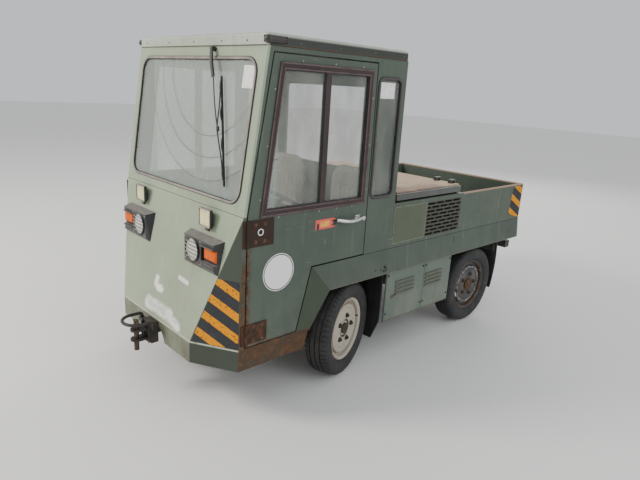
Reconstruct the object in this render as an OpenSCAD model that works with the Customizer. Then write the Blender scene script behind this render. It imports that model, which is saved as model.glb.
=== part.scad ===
// Airport baggage tug with a two-door cab, an engine bay behind it and a load bed.
// Lengths are in millimetres. The front faces -Y, the vehicle's left is +X and +Z is up.
// Stations along the vehicle are measured rearwards from the front belt crease,
// and place() then moves everything so that the origin lies under the middle.

/* [Body] */
// Width over the flat sides
body_w = 1234; // [1100:1:1350]
// Height of the crease below the windscreen
belt_z = 1073; // [1040:1:1110]
// Height of the roof's top
roof_z = 1901; // [1850:1:2000]
// Thickness of the roof with its lining
roof_t = 55; // [40:1:70]
// Station of the roof's front edge
roof_front = 121; // [100:1:140]
// Station of the cab's rear face
cab_rear = 1106; // [1090:1:1130]
// Station of the body's rear face
body_rear = 2720; // [2600:1:2900]
// Thickness of the cab's sides, doors and bed walls
wall = 28; // [22:1:32]
// Thickness of the windscreen panel
front_wall = 14; // [10:1:16]
// Thickness of the folded nose panels
skin = 12; // [8:1:14]
// Height of the crease that runs along both sides
crease_z = 748; // [735:1:760]
// Height of the fender band's lower edge
band_z = 591; // [585:1:600]
// How far the band leans out at its lower edge
band_flare = 16; // [8:1:24]
// Thickness of the fender band
band_t = 14; // [10:1:16]
// Height of the bed walls' top
rail_z = 1029; // [1020:1:1034]

/* [Nose] */
// How far the nose reaches in front of the belt crease
nose_reach = 156; // [120:1:180]
// Half width of the nose's flat front at its lower edge
nose_half = 382; // [340:1:430]
// Height of the nose panel's lower edge
nose_z = 393; // [385:1:400]
// Height of the skirt's lower edge
skirt_z = 278; // [265:1:290]
// How far the skirt's rear corner reaches in front of the crease
nose_corner = 19; // [10:1:30]
// Radius of the cut-out in the skirt behind the tow jaw
skirt_cut_r = 118; // [90:1:125]

/* [Doors] */
// Station of the doors' front edge below the belt
door_front = 24; // [22:1:30]
// Station of the doors' front edge at the top
door_front_top = 152; // [150:1:160]
// Station of the doors' rear edge
door_rear = 852; // [840:1:856]
// Height of the doors' lower edge
door_z = 401; // [399:1:408]
// Height of the doors' top edge
door_top = 1816; // [1800:1:1820]
// Station of the doors' rear lower corner
door_low_rear = 352; // [345:1:356]
// Station where the doors step up over the wheel
door_step = 444; // [440:1:448]
// Gap around the doors
door_gap = 7; // [6:1:8]
// Width of the brown window frame
frame_w = 34; // [26:1:40]
// Radius of a hinge barrel
hinge_r = 9; // [8:1:11]
// Radius of a hinge pin
hinge_pin_r = 4; // [3:0.5:5]

/* [Windows] */
// Distance of the windscreen opening from the cab's sides
screen_margin = 59; // [51:1:87]
// Height of the windscreen opening's lower edge along the panel
screen_low = 52; // [46:1:70]
// Height of the windscreen opening's upper edge along the panel
screen_high = 722; // [690:1:730]
// Corner radius of the windscreen opening
screen_r = 70; // [50:1:90]
// Thickness of the glass
glass_t = 6; // [4:1:8]
// Width of the rubber seal's lip outside the opening
seal_lip = 10; // [8:1:16]
// Width of the rubber seal inside the opening
seal_in = 8; // [6:1:12]
// Depth of the rubber seal's lip in front of the panel
seal_proud = 7; // [5:1:9]
// Front edge of the quarter window opening
quarter_front = 876; // [872:1:884]
// Rear edge of the quarter window opening
quarter_rear = 1063; // [1040:1:1068]
// Lower edge of the quarter window opening
quarter_low = 1086; // [1070:1:1100]
// Upper edge of the quarter window opening
quarter_high = 1743; // [1700:1:1760]
// Corner radius of the quarter window
quarter_r = 34; // [20:1:50]

/* [Wheels] */
// Station of the front axle
front_axle_y = 762; // [755:1:770]
// Distance between the axles
wheelbase = 1365; // [1340:1:1400]
// Outer radius of a tyre
tyre_r = 287; // [275:1:288]
// Width of a tyre
tyre_w = 150; // [130:1:160]
// Distance of the tyres' middle from the vehicle's centre line
track_half = 537; // [530:1:540]
// Radius of the rim where the tyre sits
bead_r = 178; // [170:1:182]
// Radius of the rim's flange
flange_r = 193; // [186:1:198]
// Radius of the stub axle that a hub turns on
spindle_r = 16; // [14:1:20]
// Distance of a kingpin inside the tyres' middle
kingpin_in = 17; // [13:1:22]
// Radius of a kingpin
kingpin_r = 12; // [10:1:14]
// Length of a steering arm
steer_arm = 100; // [90:1:105]
// Angle to the left at which the front wheels are parked
park_steer = 18; // [0:1:24]

/* [Chassis] */
// Inner distance of a frame rail from the centre line
rail_in = 215; // [205:1:225]
// Width of a frame rail
rail_w = 56; // [50:1:60]
// Height of a frame rail
rail_h = 84; // [70:1:90]
// Lower edge of the rails in front
rail_low_z = 302; // [298:1:306]
// Lower edge of the rails over the axles
rail_high_z = 484; // [480:1:490]
// Height of the bed floor's top
floor_z = 700; // [696:1:720]
// Thickness of floor and bulkhead sheets
sheet = 8; // [6:1:10]

/* [Engine cover] */
// Front edge of the engine cover
cover_front = 1126; // [1122:1:1132]
// Rear edge of the engine cover
cover_rear = 1844; // [1800:1:1850]
// Lower edge of the engine cover's rim
cover_low = 1042; // [1040:1:1046]
// Height of the engine cover's top sheet
cover_top = 1080; // [1070:1:1090]
// Thickness of the board on the engine cover
board_t = 9; // [6:1:12]

/* [Towing] */
// Radius of the tow pins
tow_pin_r = 14; // [12:1:17]
// Station of the front tow pin
tow_pin_y = -262; // [-270:1:-250]
// Radius of the guide hoop's middle line
hoop_r = 75; // [70:1:88]
// Station of the rear tow pin
rear_pin_y = 2804; // [2790:1:2820]

/* [Hidden] */
$fn = 48;

half_w = body_w / 2;
inner_w = half_w - wall;
screen_half = half_w - screen_margin;
fit_gap = 0.3;
eps = 0.5;
roof_low = roof_z - roof_t;
lean = atan(roof_front / (roof_z - belt_z));
hub_z = tyre_r;
rear_axle_y = front_axle_y + wheelbase;
kingpin_x = track_half - kingpin_in;
hoop_y = tow_pin_y + 5;
hoop_tube = 9;
front_reach = hoop_y - hoop_r - hoop_tube;
rear_jaw_r = 36;
rear_reach = rear_pin_y + rear_jaw_r;
mid_y = (front_reach + rear_reach) / 2;

// Station of the windscreen panel's outer face at a height
function screen_y(z) = roof_front * (z - belt_z) / (roof_z - belt_z);
// Station of the nose's rear plane at a height
function nose_back(z) = -nose_corner * (belt_z - z) / (belt_z - nose_z);
// Station of the doors' front edge at a height
function door_edge(z) = z < belt_z ? door_front
    : door_front + (door_front_top - door_front) * (z - belt_z) / (door_top - belt_z);
// Outer face of the fender band at a height
function band_x(z) = half_w + band_flare * (crease_z - z) / (crease_z - band_z);

// Points of the wheel opening's front edge, station and height
arch_foot = [418, skirt_z];
arch_knee = [448, nose_z - 10];
arch_head = [580, band_z];
// Points of the fender's front outer edge
leg_foot = [door_low_rear + door_gap, nose_z + 2];
leg_head = [door_step + door_gap, crease_z];

module place() { translate([0, -mid_y, 0]) children(); }
module both() { children(); mirror([1, 0, 0]) children(); }
// Carries a shape drawn on station and height to the plane at x, with thickness t outwards
module side_sheet(x, t) { translate([x, 0, 0]) rotate([90, 0, 90]) linear_extrude(t) children(); }
// Carries a shape drawn on width and slope length to the windscreen panel
module on_screen(out = 0) {
    translate([0, 0, belt_z]) rotate([90 - lean, 0, 0]) translate([0, 0, out]) children();
}
// A rectangle with round corners, as bars and discs so that its edges stay exact
module round_rect(x0, y0, x1, y1, r) {
    translate([x0 + r, y0]) square([x1 - x0 - 2 * r, y1 - y0]);
    translate([x0, y0 + r]) square([x1 - x0, y1 - y0 - 2 * r]);
    for (x = [x0 + r, x1 - r], y = [y0 + r, y1 - r]) translate([x, y]) circle(r);
}

// Chassis

// Height of a rail's lower edge along the vehicle
rail_steps = [[-110, rail_low_z], [470, rail_low_z], [600, rail_high_z], [body_rear - wall - 2, rail_high_z]];
// Lowest height of the rails within a hanger's length of a station
function rail_under(y) = min(rail_high_z, rail_low_z + (rail_high_z - rail_low_z) * (y - 16 - 470) / 130);
flap_y = rear_axle_y + tyre_r + 22;
flap_t = 8;
panel_x = half_w - 18;
// Cross members: station, lower edge of the rails there, inner and outer reach from the centre
cross_members = [
    [-95, rail_low_z, 0, nose_half - 60], [250, rail_low_z, 0, rail_in + 1],
    [1010, rail_high_z, 0, rail_in + 1], [1120, rail_high_z, 0, panel_x - fit_gap],
    [1490, rail_high_z, rail_in, panel_x - fit_gap], [cover_rear - 74, rail_high_z, 0, panel_x - fit_gap],
    [flap_y + flap_t + fit_gap, rail_high_z, 0, inner_w], [body_rear - wall - 62, rail_high_z, 0, inner_w]];
member_w = 60;
member_in = 14;

module chassis_frame() {
    color("#2e3330") {
        both() side_sheet(rail_in, rail_w) polygon(concat(
            rail_steps, [for (i = [3:-1:0]) rail_steps[i] + [0, rail_h]]));
        both() for (m = cross_members) translate([m[2] - (m[2] == 0 ? eps : 0), m[0], m[1] + member_in])
            cube([m[3] - m[2] + (m[2] == 0 ? eps : 0), member_w, rail_h - 2 * member_in]);
        // Posts that carry the bed floor
        both() for (y = [1960, 2300, body_rear - wall - 60])
            translate([rail_in, y, rail_high_z + rail_h - eps])
                cube([rail_w, 50, floor_z - sheet - rail_high_z - rail_h + eps - fit_gap]);
    }
}

spring_z = 352;
spring_t = 34;
spring_half = 225;
beam_h = 56;
// A leaf spring under a rail: the eyes are level and the middle sits on the axle
module leaf_spring(y) {
    translate([rail_in + 6, y - spring_half - 16, spring_z - spring_t / 2])
        cube([rail_w - 12, 2 * spring_half + 32, spring_t]);
    translate([rail_in + 8, y - 150, spring_z - spring_t / 2 - 12]) cube([rail_w - 16, 300, 12.5]);
    // Hangers up to the rail's underside
    for (s = [-1, 1]) translate([rail_in + 6, y + s * spring_half - 16, spring_z + spring_t / 2 - eps])
        cube([rail_w - 12, 32, rail_under(y + s * spring_half) - fit_gap - spring_z - spring_t / 2 + eps]);
}

module front_axle() {
    color("#26292a") {
        difference() {
            union() {
                translate([-kingpin_x, front_axle_y - 28, hub_z - beam_h / 2])
                    cube([2 * kingpin_x, 56, beam_h]);
                both() translate([kingpin_x, front_axle_y, hub_z - beam_h / 2]) cylinder(r = 28, h = beam_h);
            }
            both() translate([kingpin_x, front_axle_y, hub_z - beam_h])
                cylinder(r = kingpin_r + 0.1, h = 2 * beam_h);
        }
        both() {
            leaf_spring(front_axle_y);
            translate([rail_in + 4, front_axle_y - 45, hub_z + beam_h / 2 - eps])
                cube([rail_w - 8, 90, spring_z - spring_t / 2 - hub_z - beam_h / 2 + eps]);
        }
    }
}

module rear_axle() {
    color("#26292a") {
        // Axle tube with the round gear case in its middle, then the stub axles
        translate([0, rear_axle_y, hub_z]) rotate([0, 90, 0]) rotate_extrude()
            polygon([[0, 12 - track_half], [38, 12 - track_half], [38, -140], [96, -72], [110, -40],
                [110, 40], [96, 72], [38, 140], [38, track_half - 12], [0, track_half - 12]]);
        both() translate([track_half - 12 - eps, rear_axle_y, hub_z]) rotate([0, 90, 0])
            cylinder(r = spindle_r, h = 52);
        translate([0, rear_axle_y - 30, hub_z]) rotate([90, 0, 0]) cylinder(r = 52, h = 150);
        both() {
            leaf_spring(rear_axle_y);
            translate([rail_in + 4, rear_axle_y - 45, hub_z]) cube([rail_w - 8, 90, spring_z - hub_z]);
        }
    }
}

engine_front = cab_rear + 94;
engine_rear = cover_rear - 84;
module engine_block() {
    block = rail_in - 20;
    color("#4a4f4c") {
        translate([-block, engine_front, 400]) cube([2 * block, engine_rear - engine_front, 470]);
        // Feet on the frame rails
        both() for (y = [engine_front + 50, engine_rear - 110]) translate([block - eps, y, rail_high_z + 20])
            cube([20 + eps - fit_gap, 60, 40]);
    }
}

// Cab shell

// The closed nose behind its two facets, grown by o inwards on every outer face
module nose_solid(o, top, low) {
    side = half_w - o;
    hull() {
        for (s = [-1, 1]) {
            translate([s * side, o, top]) cube(0.01, center = true);
            translate([s * (nose_half - 0.27 * o), o - nose_reach, low]) cube(0.01, center = true);
            translate([s * side, 0.574 * o - nose_corner, low]) cube(0.01, center = true);
        }
        if (o > 0) for (s = [-1, 1], z = [top, low]) translate([s * side, 60, z]) cube(0.01, center = true);
    }
}
// Outline of the skirt seen from above, shrunk by o
module skirt_outline(o, back) {
    polygon([[-nose_half + 0.27 * o, o - nose_reach], [nose_half - 0.27 * o, o - nose_reach],
        [half_w - o, 0.574 * o - nose_corner], [half_w - o, back],
        [o - half_w, back], [o - half_w, 0.574 * o - nose_corner]]);
}

module nose_panel() {
    color("#8f9c8c") {
        difference() {
            nose_solid(0, belt_z, nose_z);
            nose_solid(skin, belt_z + 0.02, nose_z - 0.02);
        }
        difference() {
            translate([0, 0, skirt_z]) linear_extrude(nose_z - skirt_z) skirt_outline(0, -nose_corner);
            translate([0, 0, skirt_z - 1]) linear_extrude(nose_z - skirt_z + 2) skirt_outline(skin, 0);
            translate([0, 0, skirt_z - 30]) rotate([90, 0, 0]) cylinder(r = skirt_cut_r, h = 400);
        }
    }
}

module windscreen_frame() {
    color("#94a08e") difference() {
        side_sheet(-half_w, body_w) polygon([[0, belt_z], [front_wall / cos(lean), belt_z],
            [screen_y(roof_low) + front_wall / cos(lean), roof_low], [screen_y(roof_low), roof_low]]);
        on_screen(-60) linear_extrude(120)
            round_rect(-screen_half, screen_low, screen_half, screen_high, screen_r);
    }
}

hinge_x = half_w + 6;
hinge_y = door_front - door_gap / 2;
// Middle height and length of each door hinge, and the length of its leaf on the door
hinges = [[470, 108, 118], [989, 134, 145]];
leaf_t = 4;

// The cab side around the door: sill, post, top rail and the quarter panel
module cab_side() {
    back = front_wall / cos(lean);
    difference() {
        union() {
            side_sheet(inner_w, wall) difference() {
                polygon([[nose_back(nose_z) + fit_gap, skirt_z], arch_foot, arch_knee, leg_foot,
                    [door_front - door_gap, nose_z + 2], [door_front - door_gap, belt_z],
                    [door_edge(door_top + door_gap) - door_gap, door_top + door_gap],
                    [door_rear + door_gap, door_top + door_gap], [door_rear + door_gap, crease_z],
                    [cab_rear, crease_z], [cab_rear, roof_low], [screen_y(roof_low) + back, roof_low],
                    [back, belt_z], [fit_gap, belt_z], [nose_back(nose_z) + fit_gap, nose_z]]);
                round_rect(quarter_front, quarter_low, quarter_rear, quarter_high, quarter_r);
            }
            for (h = hinges) {
                translate([half_w - eps, fit_gap, h[0] - h[1] / 2]) cube([leaf_t + eps, hinge_y - fit_gap, h[1]]);
                translate([half_w + fit_gap / 2, -8, h[0] - h[1] / 2]) cube([leaf_t - fit_gap / 2, 16, h[1]]);
            }
        }
        // Room for the door's barrel in the middle of each hinge
        for (h = hinges) translate([hinge_x, hinge_y, h[0] - h[1] / 6 - 1])
            cylinder(r = hinge_r + 1.5, h = h[1] / 3 + 2);
    }
    for (h = hinges) {
        for (z = [h[0] - h[1] / 2, h[0] + h[1] / 6 + 1])
            translate([hinge_x, hinge_y, z]) cylinder(r = hinge_r, h = h[1] / 3 - 1);
        translate([hinge_x, hinge_y, h[0] - h[1] / 2]) cylinder(r = hinge_pin_r, h = h[1]);
    }
}
module cab_side_left() { color("#5d6a5a") cab_side(); }
module cab_side_right() { color("#5d6a5a") mirror([1, 0, 0]) cab_side(); }

// Rear window: half width, lower and upper height
rear_win = [430, 1180, 1700];
// Middle of each hinge of the engine cover
cover_hinges = [-420, 420];
cover_hinge_len = 80;
cover_pin_r = 3;
module cab_rear_wall() {
    // Lugs and pins of the engine cover's hinges
    color("#5d6a5a") for (x = cover_hinges) {
        for (s = [-1, 1]) translate([x + s * (cover_hinge_len / 2 + 4) - 3, cab_rear - eps, cover_hinge_z - 7])
            cube([6, cover_hinge_y - cab_rear + 6 + eps, 14]);
        translate([x - cover_hinge_len / 2 - 4, cover_hinge_y, cover_hinge_z]) rotate([0, 90, 0])
            cylinder(r = cover_pin_r, h = cover_hinge_len + 8);
    }
    color("#5d6a5a") difference() {
        translate([-inner_w, cab_rear - wall, band_z]) cube([2 * inner_w, wall, roof_low - band_z]);
        translate([0, cab_rear + 50, 0]) rotate([90, 0, 0]) linear_extrude(120)
            round_rect(-rear_win[0], rear_win[1], rear_win[0], rear_win[2], quarter_r);
    }
}

// The roof cap: a straight fascia with a rounded top edge
module cab_roof() {
    front = screen_y(roof_low) - 8;
    over = 4;
    color("#6b7566") difference() {
        hull() {
            translate([0, 0, roof_low]) linear_extrude(roof_t - 16)
                round_rect(-half_w - over, front, half_w + over, cab_rear + over, 24, $fn = 32);
            translate([0, 0, roof_low]) linear_extrude(roof_t - 5)
                round_rect(-half_w - over + 5, front + 5, half_w + over - 5, cab_rear + over - 5, 20, $fn = 32);
            translate([0, 0, roof_low]) linear_extrude(roof_t)
                round_rect(-half_w - over + 16, front + 16, half_w + over - 16, cab_rear + over - 16, 14, $fn = 32);
        }
        both() roof_lamp_shape(fit_gap);
    }
}
// The marker lamp let into a front corner of the roof, grown by g
module roof_lamp_shape(g) {
    translate([half_w + 4 - 26 - g, screen_y(roof_low) - 8 - 1, roof_low + 12 - g])
        cube([26 + g + 3, 112 + g, 28 + 2 * g]);
}
module roof_lamps() {
    color("#1c1c1e") both() intersection() {
        roof_lamp_shape(0);
        translate([-half_w - 4, screen_y(roof_low) - 8, roof_low]) cube([body_w + 8, 200, roof_t]);
    }
}

// Floor of the cab: a foot well, a slope over the front wheels and the seat platform
module cab_floor() {
    color("#3c423c") difference() {
        side_sheet(-inner_w + fit_gap, 2 * inner_w - 2 * fit_gap) polygon([
            [-nose_reach + 18, nose_z], [arch_knee[0] + 4, nose_z], [arch_head[0] + 2, band_z],
            [cab_rear - wall - fit_gap, band_z], [cab_rear - wall - fit_gap, band_z + sheet],
            [arch_head[0] - 2, band_z + sheet], [arch_knee[0], nose_z + sheet],
            [-nose_reach + 18, nose_z + sheet]]);
        // The corners are cut back behind the nose's facets
        translate([0, 0, nose_z - 1]) linear_extrude(sheet + 2) difference() {
            translate([-half_w, -nose_reach]) square([body_w, nose_reach]);
            skirt_outline(skin + 5, 10);
        }
    }
}

module wheelhouses() {
    color("#23272a") both() {
        side_sheet(rail_in + rail_w + 11, 6) polygon([[arch_knee[0] + 9, nose_z - 0.5],
            [arch_head[0] + 5, band_z - 0.5], [1070, band_z - 0.5], [1070, 330], [arch_knee[0] + 9, 330]]);
        side_sheet(rail_in + rail_w + 11, inner_w - rail_in - rail_w - 11 - fit_gap) polygon([
            [arch_foot[0] - 8, skirt_z], arch_foot, [arch_knee[0], arch_knee[1]],
            [arch_knee[0] + 3, nose_z - fit_gap], [arch_knee[0] - 6, nose_z - fit_gap]]);
    }
}

// Glass and seals

module cab_glass() {
    c = seal_in;
    color("#9fb0ae", 0.4) {
        on_screen(-front_wall / 2 - glass_t / 2) linear_extrude(glass_t)
            round_rect(-screen_half + c, screen_low + c, screen_half - c, screen_high - c, screen_r - c);
        both() side_sheet(half_w - wall / 2 - glass_t / 2, glass_t)
            round_rect(quarter_front + c, quarter_low + c, quarter_rear - c, quarter_high - c, quarter_r - c);
        translate([0, cab_rear - wall / 2 + glass_t / 2, 0]) rotate([90, 0, 0]) linear_extrude(glass_t)
            round_rect(-rear_win[0] + c, rear_win[1] + c, rear_win[0] - c, rear_win[2] - c, quarter_r - c);
    }
}
// Rubber section around an opening: a web in the opening and a lip outside it, clear by g
module seal_web(x0, y0, x1, y1, r, t) {
    g = fit_gap;
    c = seal_in;
    linear_extrude(t) difference() {
        round_rect(x0 + g, y0 + g, x1 - g, y1 - g, r - g);
        round_rect(x0 + c - g, y0 + c - g, x1 - c + g, y1 - c + g, r - c + g);
    }
}
module seal_ring(x0, y0, x1, y1, r, t) {
    l = seal_lip;
    c = seal_in;
    seal_web(x0, y0, x1, y1, r, t + eps);
    translate([0, 0, t + fit_gap]) linear_extrude(seal_proud) difference() {
        round_rect(x0 - l, y0 - l, x1 + l, y1 + l, r + l);
        round_rect(x0 + c, y0 + c, x1 - c, y1 - c, r - c);
    }
}
module window_seals() {
    color("#17191a") {
        on_screen(-front_wall) seal_ring(-screen_half, screen_low, screen_half, screen_high, screen_r, front_wall);
        both() translate([inner_w, 0, 0]) rotate([90, 0, 90])
            seal_ring(quarter_front, quarter_low, quarter_rear, quarter_high, quarter_r, wall);
        translate([0, cab_rear - wall, 0]) rotate([90, 0, 180])
            seal_ring(-rear_win[0], rear_win[1], rear_win[0], rear_win[2], quarter_r, wall);
    }
}

// Rear body

// Direction of the fender's front outer edge and the distance of a point behind it
leg_dir = (leg_head - leg_foot) / norm(leg_head - leg_foot);
function leg_off(p) = (p[0] - leg_foot[0]) * leg_dir[1] - (p[1] - leg_foot[1]) * leg_dir[0];
// A sheet that leans outwards from an edge on the body's side, turned about that edge's start
module leaning_sheet(start, turn, depth, len) {
    translate([half_w, start[0], start[1]]) rotate([turn, 0, 0]) rotate([0, 0, 90]) linear_extrude(len)
        polygon([[0, band_t], [depth, band_t - band_flare], [depth, -band_flare], [0, 0]]);
}
module fenders() {
    over = 40;
    color("#5d6a5a") both() {
        // The long band over both wheels, cut to its mitre in front
        intersection() {
            leaning_sheet([leg_foot[0], crease_z], -90, crease_z - band_z, body_rear - leg_foot[0]);
            side_sheet(inner_w, wall + 2 * band_flare)
                polygon([leg_head, arch_head, [body_rear, band_z], [body_rear, crease_z]]);
        }
        // The leg in front of the wheel
        intersection() {
            leaning_sheet(leg_foot - over * leg_dir, -atan2(leg_dir[0], leg_dir[1]),
                leg_off(arch_head), norm(leg_head - leg_foot) + 2 * over);
            side_sheet(inner_w, wall + 2 * band_flare) polygon([leg_foot, leg_head, arch_head, arch_knee]);
        }
    }
}

// Slots of the grille: columns and rows by pitch from the lower front corner
grille = [1444, 770, 1838, 1003];
slot = [80, 13];
slot_pitch = [94, 25.5];
module grille_slots() {
    for (j = [0:8]) for (i = [-1:4]) {
        y0 = grille[0] + 8 + i * slot_pitch[0] + (j % 2) * slot_pitch[0] / 2;
        y1 = min(y0 + slot[0], grille[2] - 8);
        ya = max(y0, grille[0] + 8);
        if (y1 - ya > 10) translate([ya, grille[1] + 8 + j * slot_pitch[1]]) square([y1 - ya, slot[1]]);
    }
}
// Plain cover plate in front of the grille: front, lower, rear and upper edge
plate = [1098 + 12, 772, 1438, 1004];
// Station where the rolled top edge of the load bed starts
roll_front = cover_rear + 16;
module bed_walls() {
    color("#5d6a5a") both() {
        side_sheet(inner_w, wall) difference() {
            union() {
                translate([cab_rear, crease_z]) square([roll_front - cab_rear, rail_z - crease_z]);
                translate([roll_front - eps, crease_z])
                    square([body_rear - roll_front + eps, rail_z - wall / 2 - crease_z]);
            }
            grille_slots();
        }
        side_sheet(half_w - eps, 2 + eps) translate([plate[0], plate[1]])
            square([plate[2] - plate[0], plate[3] - plate[1]]);
        translate([half_w - wall / 2, roll_front - eps, rail_z - wall / 2]) rotate([-90, 0, 0])
            cylinder(r = wall / 2, h = body_rear - roll_front + eps);
    }
}

module rear_wall() {
    reach = inner_w - fit_gap;
    color("#566353") {
        translate([-reach, body_rear - wall, crease_z]) cube([2 * reach, wall, rail_z - wall / 2 - crease_z]);
        translate([0, body_rear, 0]) rotate([90, 0, 0]) linear_extrude(wall)
            polygon([for (p = [[1, crease_z], [1, band_z], [-1, band_z], [-1, crease_z]])
                [p[0] * (band_x(p[1]) - band_t - fit_gap), p[1]]]);
        translate([-reach, body_rear - wall / 2, rail_z - wall / 2]) rotate([0, 90, 0])
            cylinder(r = wall / 2, h = 2 * reach);
    }
}

// Bed floor with the bulkhead behind the engine bay, and the pad that the cover rests on
module bed_floor() {
    color("#4c564b") {
        translate([-inner_w + fit_gap, cover_rear - sheet, floor_z - sheet])
            cube([2 * inner_w - 2 * fit_gap, body_rear - wall - fit_gap - cover_rear + sheet, sheet]);
        translate([-inner_w + fit_gap, cover_rear - sheet, floor_z - 100])
            cube([2 * inner_w - 2 * fit_gap, sheet, cover_low - floor_z + 100 - 14]);
        translate([-inner_w + 30, cover_rear - sheet - 22, cover_low - 16])
            cube([2 * inner_w - 60, 30, 16 - fit_gap]);
    }
}

// Louvre panels: front, rear, louvre front, louvre rear, louvre low
panel_split = 1500;
panel_rear = rear_axle_y - tyre_r - 28;
louvre_end = 108;
panels = [[cab_rear + 2, panel_split - 2, cab_rear + 91, panel_split - 2 - louvre_end, 412],
    [panel_split + 2, panel_rear, panel_split + 15, panel_rear - louvre_end, 405]];
panel_low = 247;
louvre_pitch = 27;
module louvre_panels() {
    color("#6f7f6e") both() for (p = panels) {
        side_sheet(panel_x, 12) difference() {
            translate([p[0], panel_low]) square([p[1] - p[0], 655 - panel_low]);
            for (k = [0:3]) translate([p[2] + 4, p[4] + k * louvre_pitch]) square([p[3] - p[2] - 8, 7]);
        }
        for (k = [0:3]) louvre(p[2], p[3] - p[2], p[4] + k * louvre_pitch);
    }
}
// A pressed hood over a slot: a quarter round along the panel, open below
module louvre(y, len, z) {
    translate([half_w - 6, y, z + 16]) rotate([-90, 0, 0]) difference() {
        intersection() {
            scale([0.62, 1, 1]) cylinder(r = 16, h = len, $fn = 24);
            translate([-eps, 0, 0]) cube([16, 16, len]);
        }
        translate([-1, 6, 4]) cube([6, 16, len - 8]);
    }
}

// Lamps

// Headlamp housing at its front: inner and outer edge, lower and upper height, and station
head = [220, 495, 783, 922];
head_front = -86;
// How far the housing grows on those four sides towards the panel
head_grow = [24, 17, 15, 14];
lamp_c = [298, 855];
lamp_d = 116;
amber = [395, 508, 821, 891];
amber_front = -79;
// Depth of the pocket behind the amber lamp and its width beside it
amber_pocket = [14, 14];
work = [301, 402, 978, 1070];
work_front = -49;
work_bezel = 5;
// Station of the nose panel's outer face at a height
function nose_y(z) = -nose_reach * (belt_z - z) / (belt_z - nose_z);

module lamp_housings() {
    color("#1d1f21") both() {
        difference() {
            union() {
                // A box that widens from its flat front towards the slanted panel
                hull() for (i = [0, 1], j = [2, 3]) {
                    translate([head[i], head_front, head[j]]) cube(0.01);
                    zb = head[j] + (j == 2 ? -1 : 1) * head_grow[j];
                    translate([head[i] + (i == 0 ? -1 : 1) * head_grow[i], nose_y(zb) - fit_gap - 0.01, zb])
                        cube(0.01);
                }
                translate([lamp_c[0], head_front + 1, lamp_c[1]]) rotate([90, 0, 0])
                    cylinder(r = lamp_d / 2 + 6, h = 8);
            }
            translate([lamp_c[0], head_front + 12, lamp_c[1]]) rotate([90, 0, 0]) cylinder(r = lamp_d / 2, h = 40);
            translate([amber[0] - amber_pocket[1], head_front - 1, amber[2] - 3])
                cube([amber[1] - amber[0] + 40, amber_pocket[0] + 1, amber[3] - amber[2] + 6]);
        }
        // Guard bars in front of the round lamp
        for (k = [-2:2]) {
            w = sqrt(pow(lamp_d / 2 + 3, 2) - pow(k * 20, 2));
            translate([lamp_c[0] - w, head_front - 10, lamp_c[1] + k * 20 - 2]) cube([2 * w, 4, 4]);
        }
        // Work lamp body, tapered to its back, and its foot on the panel
        difference() {
            hull() {
                translate([work[0], work_front, work[2]]) cube([work[1] - work[0], 16, work[3] - work[2]]);
                translate([work[0] + 14, work_front + 16, work[2] + 16])
                    cube([work[1] - work[0] - 28, 12, work[3] - work[2] - 32]);
            }
            translate([work[0] + work_bezel, work_front - 1, work[2] + work_bezel])
                cube([work[1] - work[0] - 2 * work_bezel, 9, work[3] - work[2] - 2 * work_bezel]);
        }
        side_sheet((work[0] + work[1]) / 2 - 14, 28) polygon([[work_front + 14, work[2] + 4],
            [work_front + 14, work[2] - 20], [nose_y(work[2] - 20) - fit_gap, work[2] - 20],
            [nose_y(work[2] + 30) - fit_gap, work[2] + 30]]);
    }
}
module lamp_glasses() {
    b = work_bezel + fit_gap;
    color("#dfe3dc") both() {
        translate([lamp_c[0], head_front + 12 - fit_gap, lamp_c[1]]) rotate([90, 0, 0])
            cylinder(r = lamp_d / 2 - fit_gap, h = 13);
        translate([work[0] + b, work_front + 1, work[2] + b])
            cube([work[1] - work[0] - 2 * b, 7 - fit_gap, work[3] - work[2] - 2 * b]);
    }
}
module indicators() {
    color("#d9691c") both() translate([amber[0], amber_front, amber[2]])
        cube([amber[1] - amber[0], head_front + amber_pocket[0] - fit_gap - amber_front, amber[3] - amber[2]]);
}
module rear_lamps() {
    color("#8c1f1c") both() translate([470, body_rear + fit_gap, 640]) cube([110, 26, 62]);
}

// Wiper: points in the windscreen panel's width, slope length and height above the panel
wiper_pivot = [196, 764, 18];
arm_knee = [258, 628, 28];
arm_end = [360, 384, 38];
blade_top = [292, 636, 10];
blade_low = [436, 117, 10];
// Where the blade's bow starts and ends, as a share of the blade's length
bow_span = [0.1, 0.88];
function on_blade(k) = blade_top + k * (blade_low - blade_top);
module wiper() {
    color("#121314") on_screen() {
        translate([wiper_pivot[0], wiper_pivot[1], fit_gap]) cylinder(r = 11, h = wiper_pivot[2] + 4);
        // A channel from the pivot and a thin rod from there to the bow
        hull() for (p = [wiper_pivot, arm_knee]) translate(p) cylinder(r = 9, h = 8, $fn = 24);
        hull() for (p = [arm_knee, arm_end]) translate(p) cylinder(r = 4, h = 6, $fn = 16);
        // Blade and bow
        hull() for (p = [blade_top, blade_low]) translate(p - [0, 0, 2]) cylinder(r = 4, h = 8, $fn = 16);
        hull() for (p = [on_blade(bow_span[0]), arm_end, on_blade(bow_span[1])]) translate(p)
            cylinder(r = 2.5, h = 5, $fn = 16);
    }
}

// Interior

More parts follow.
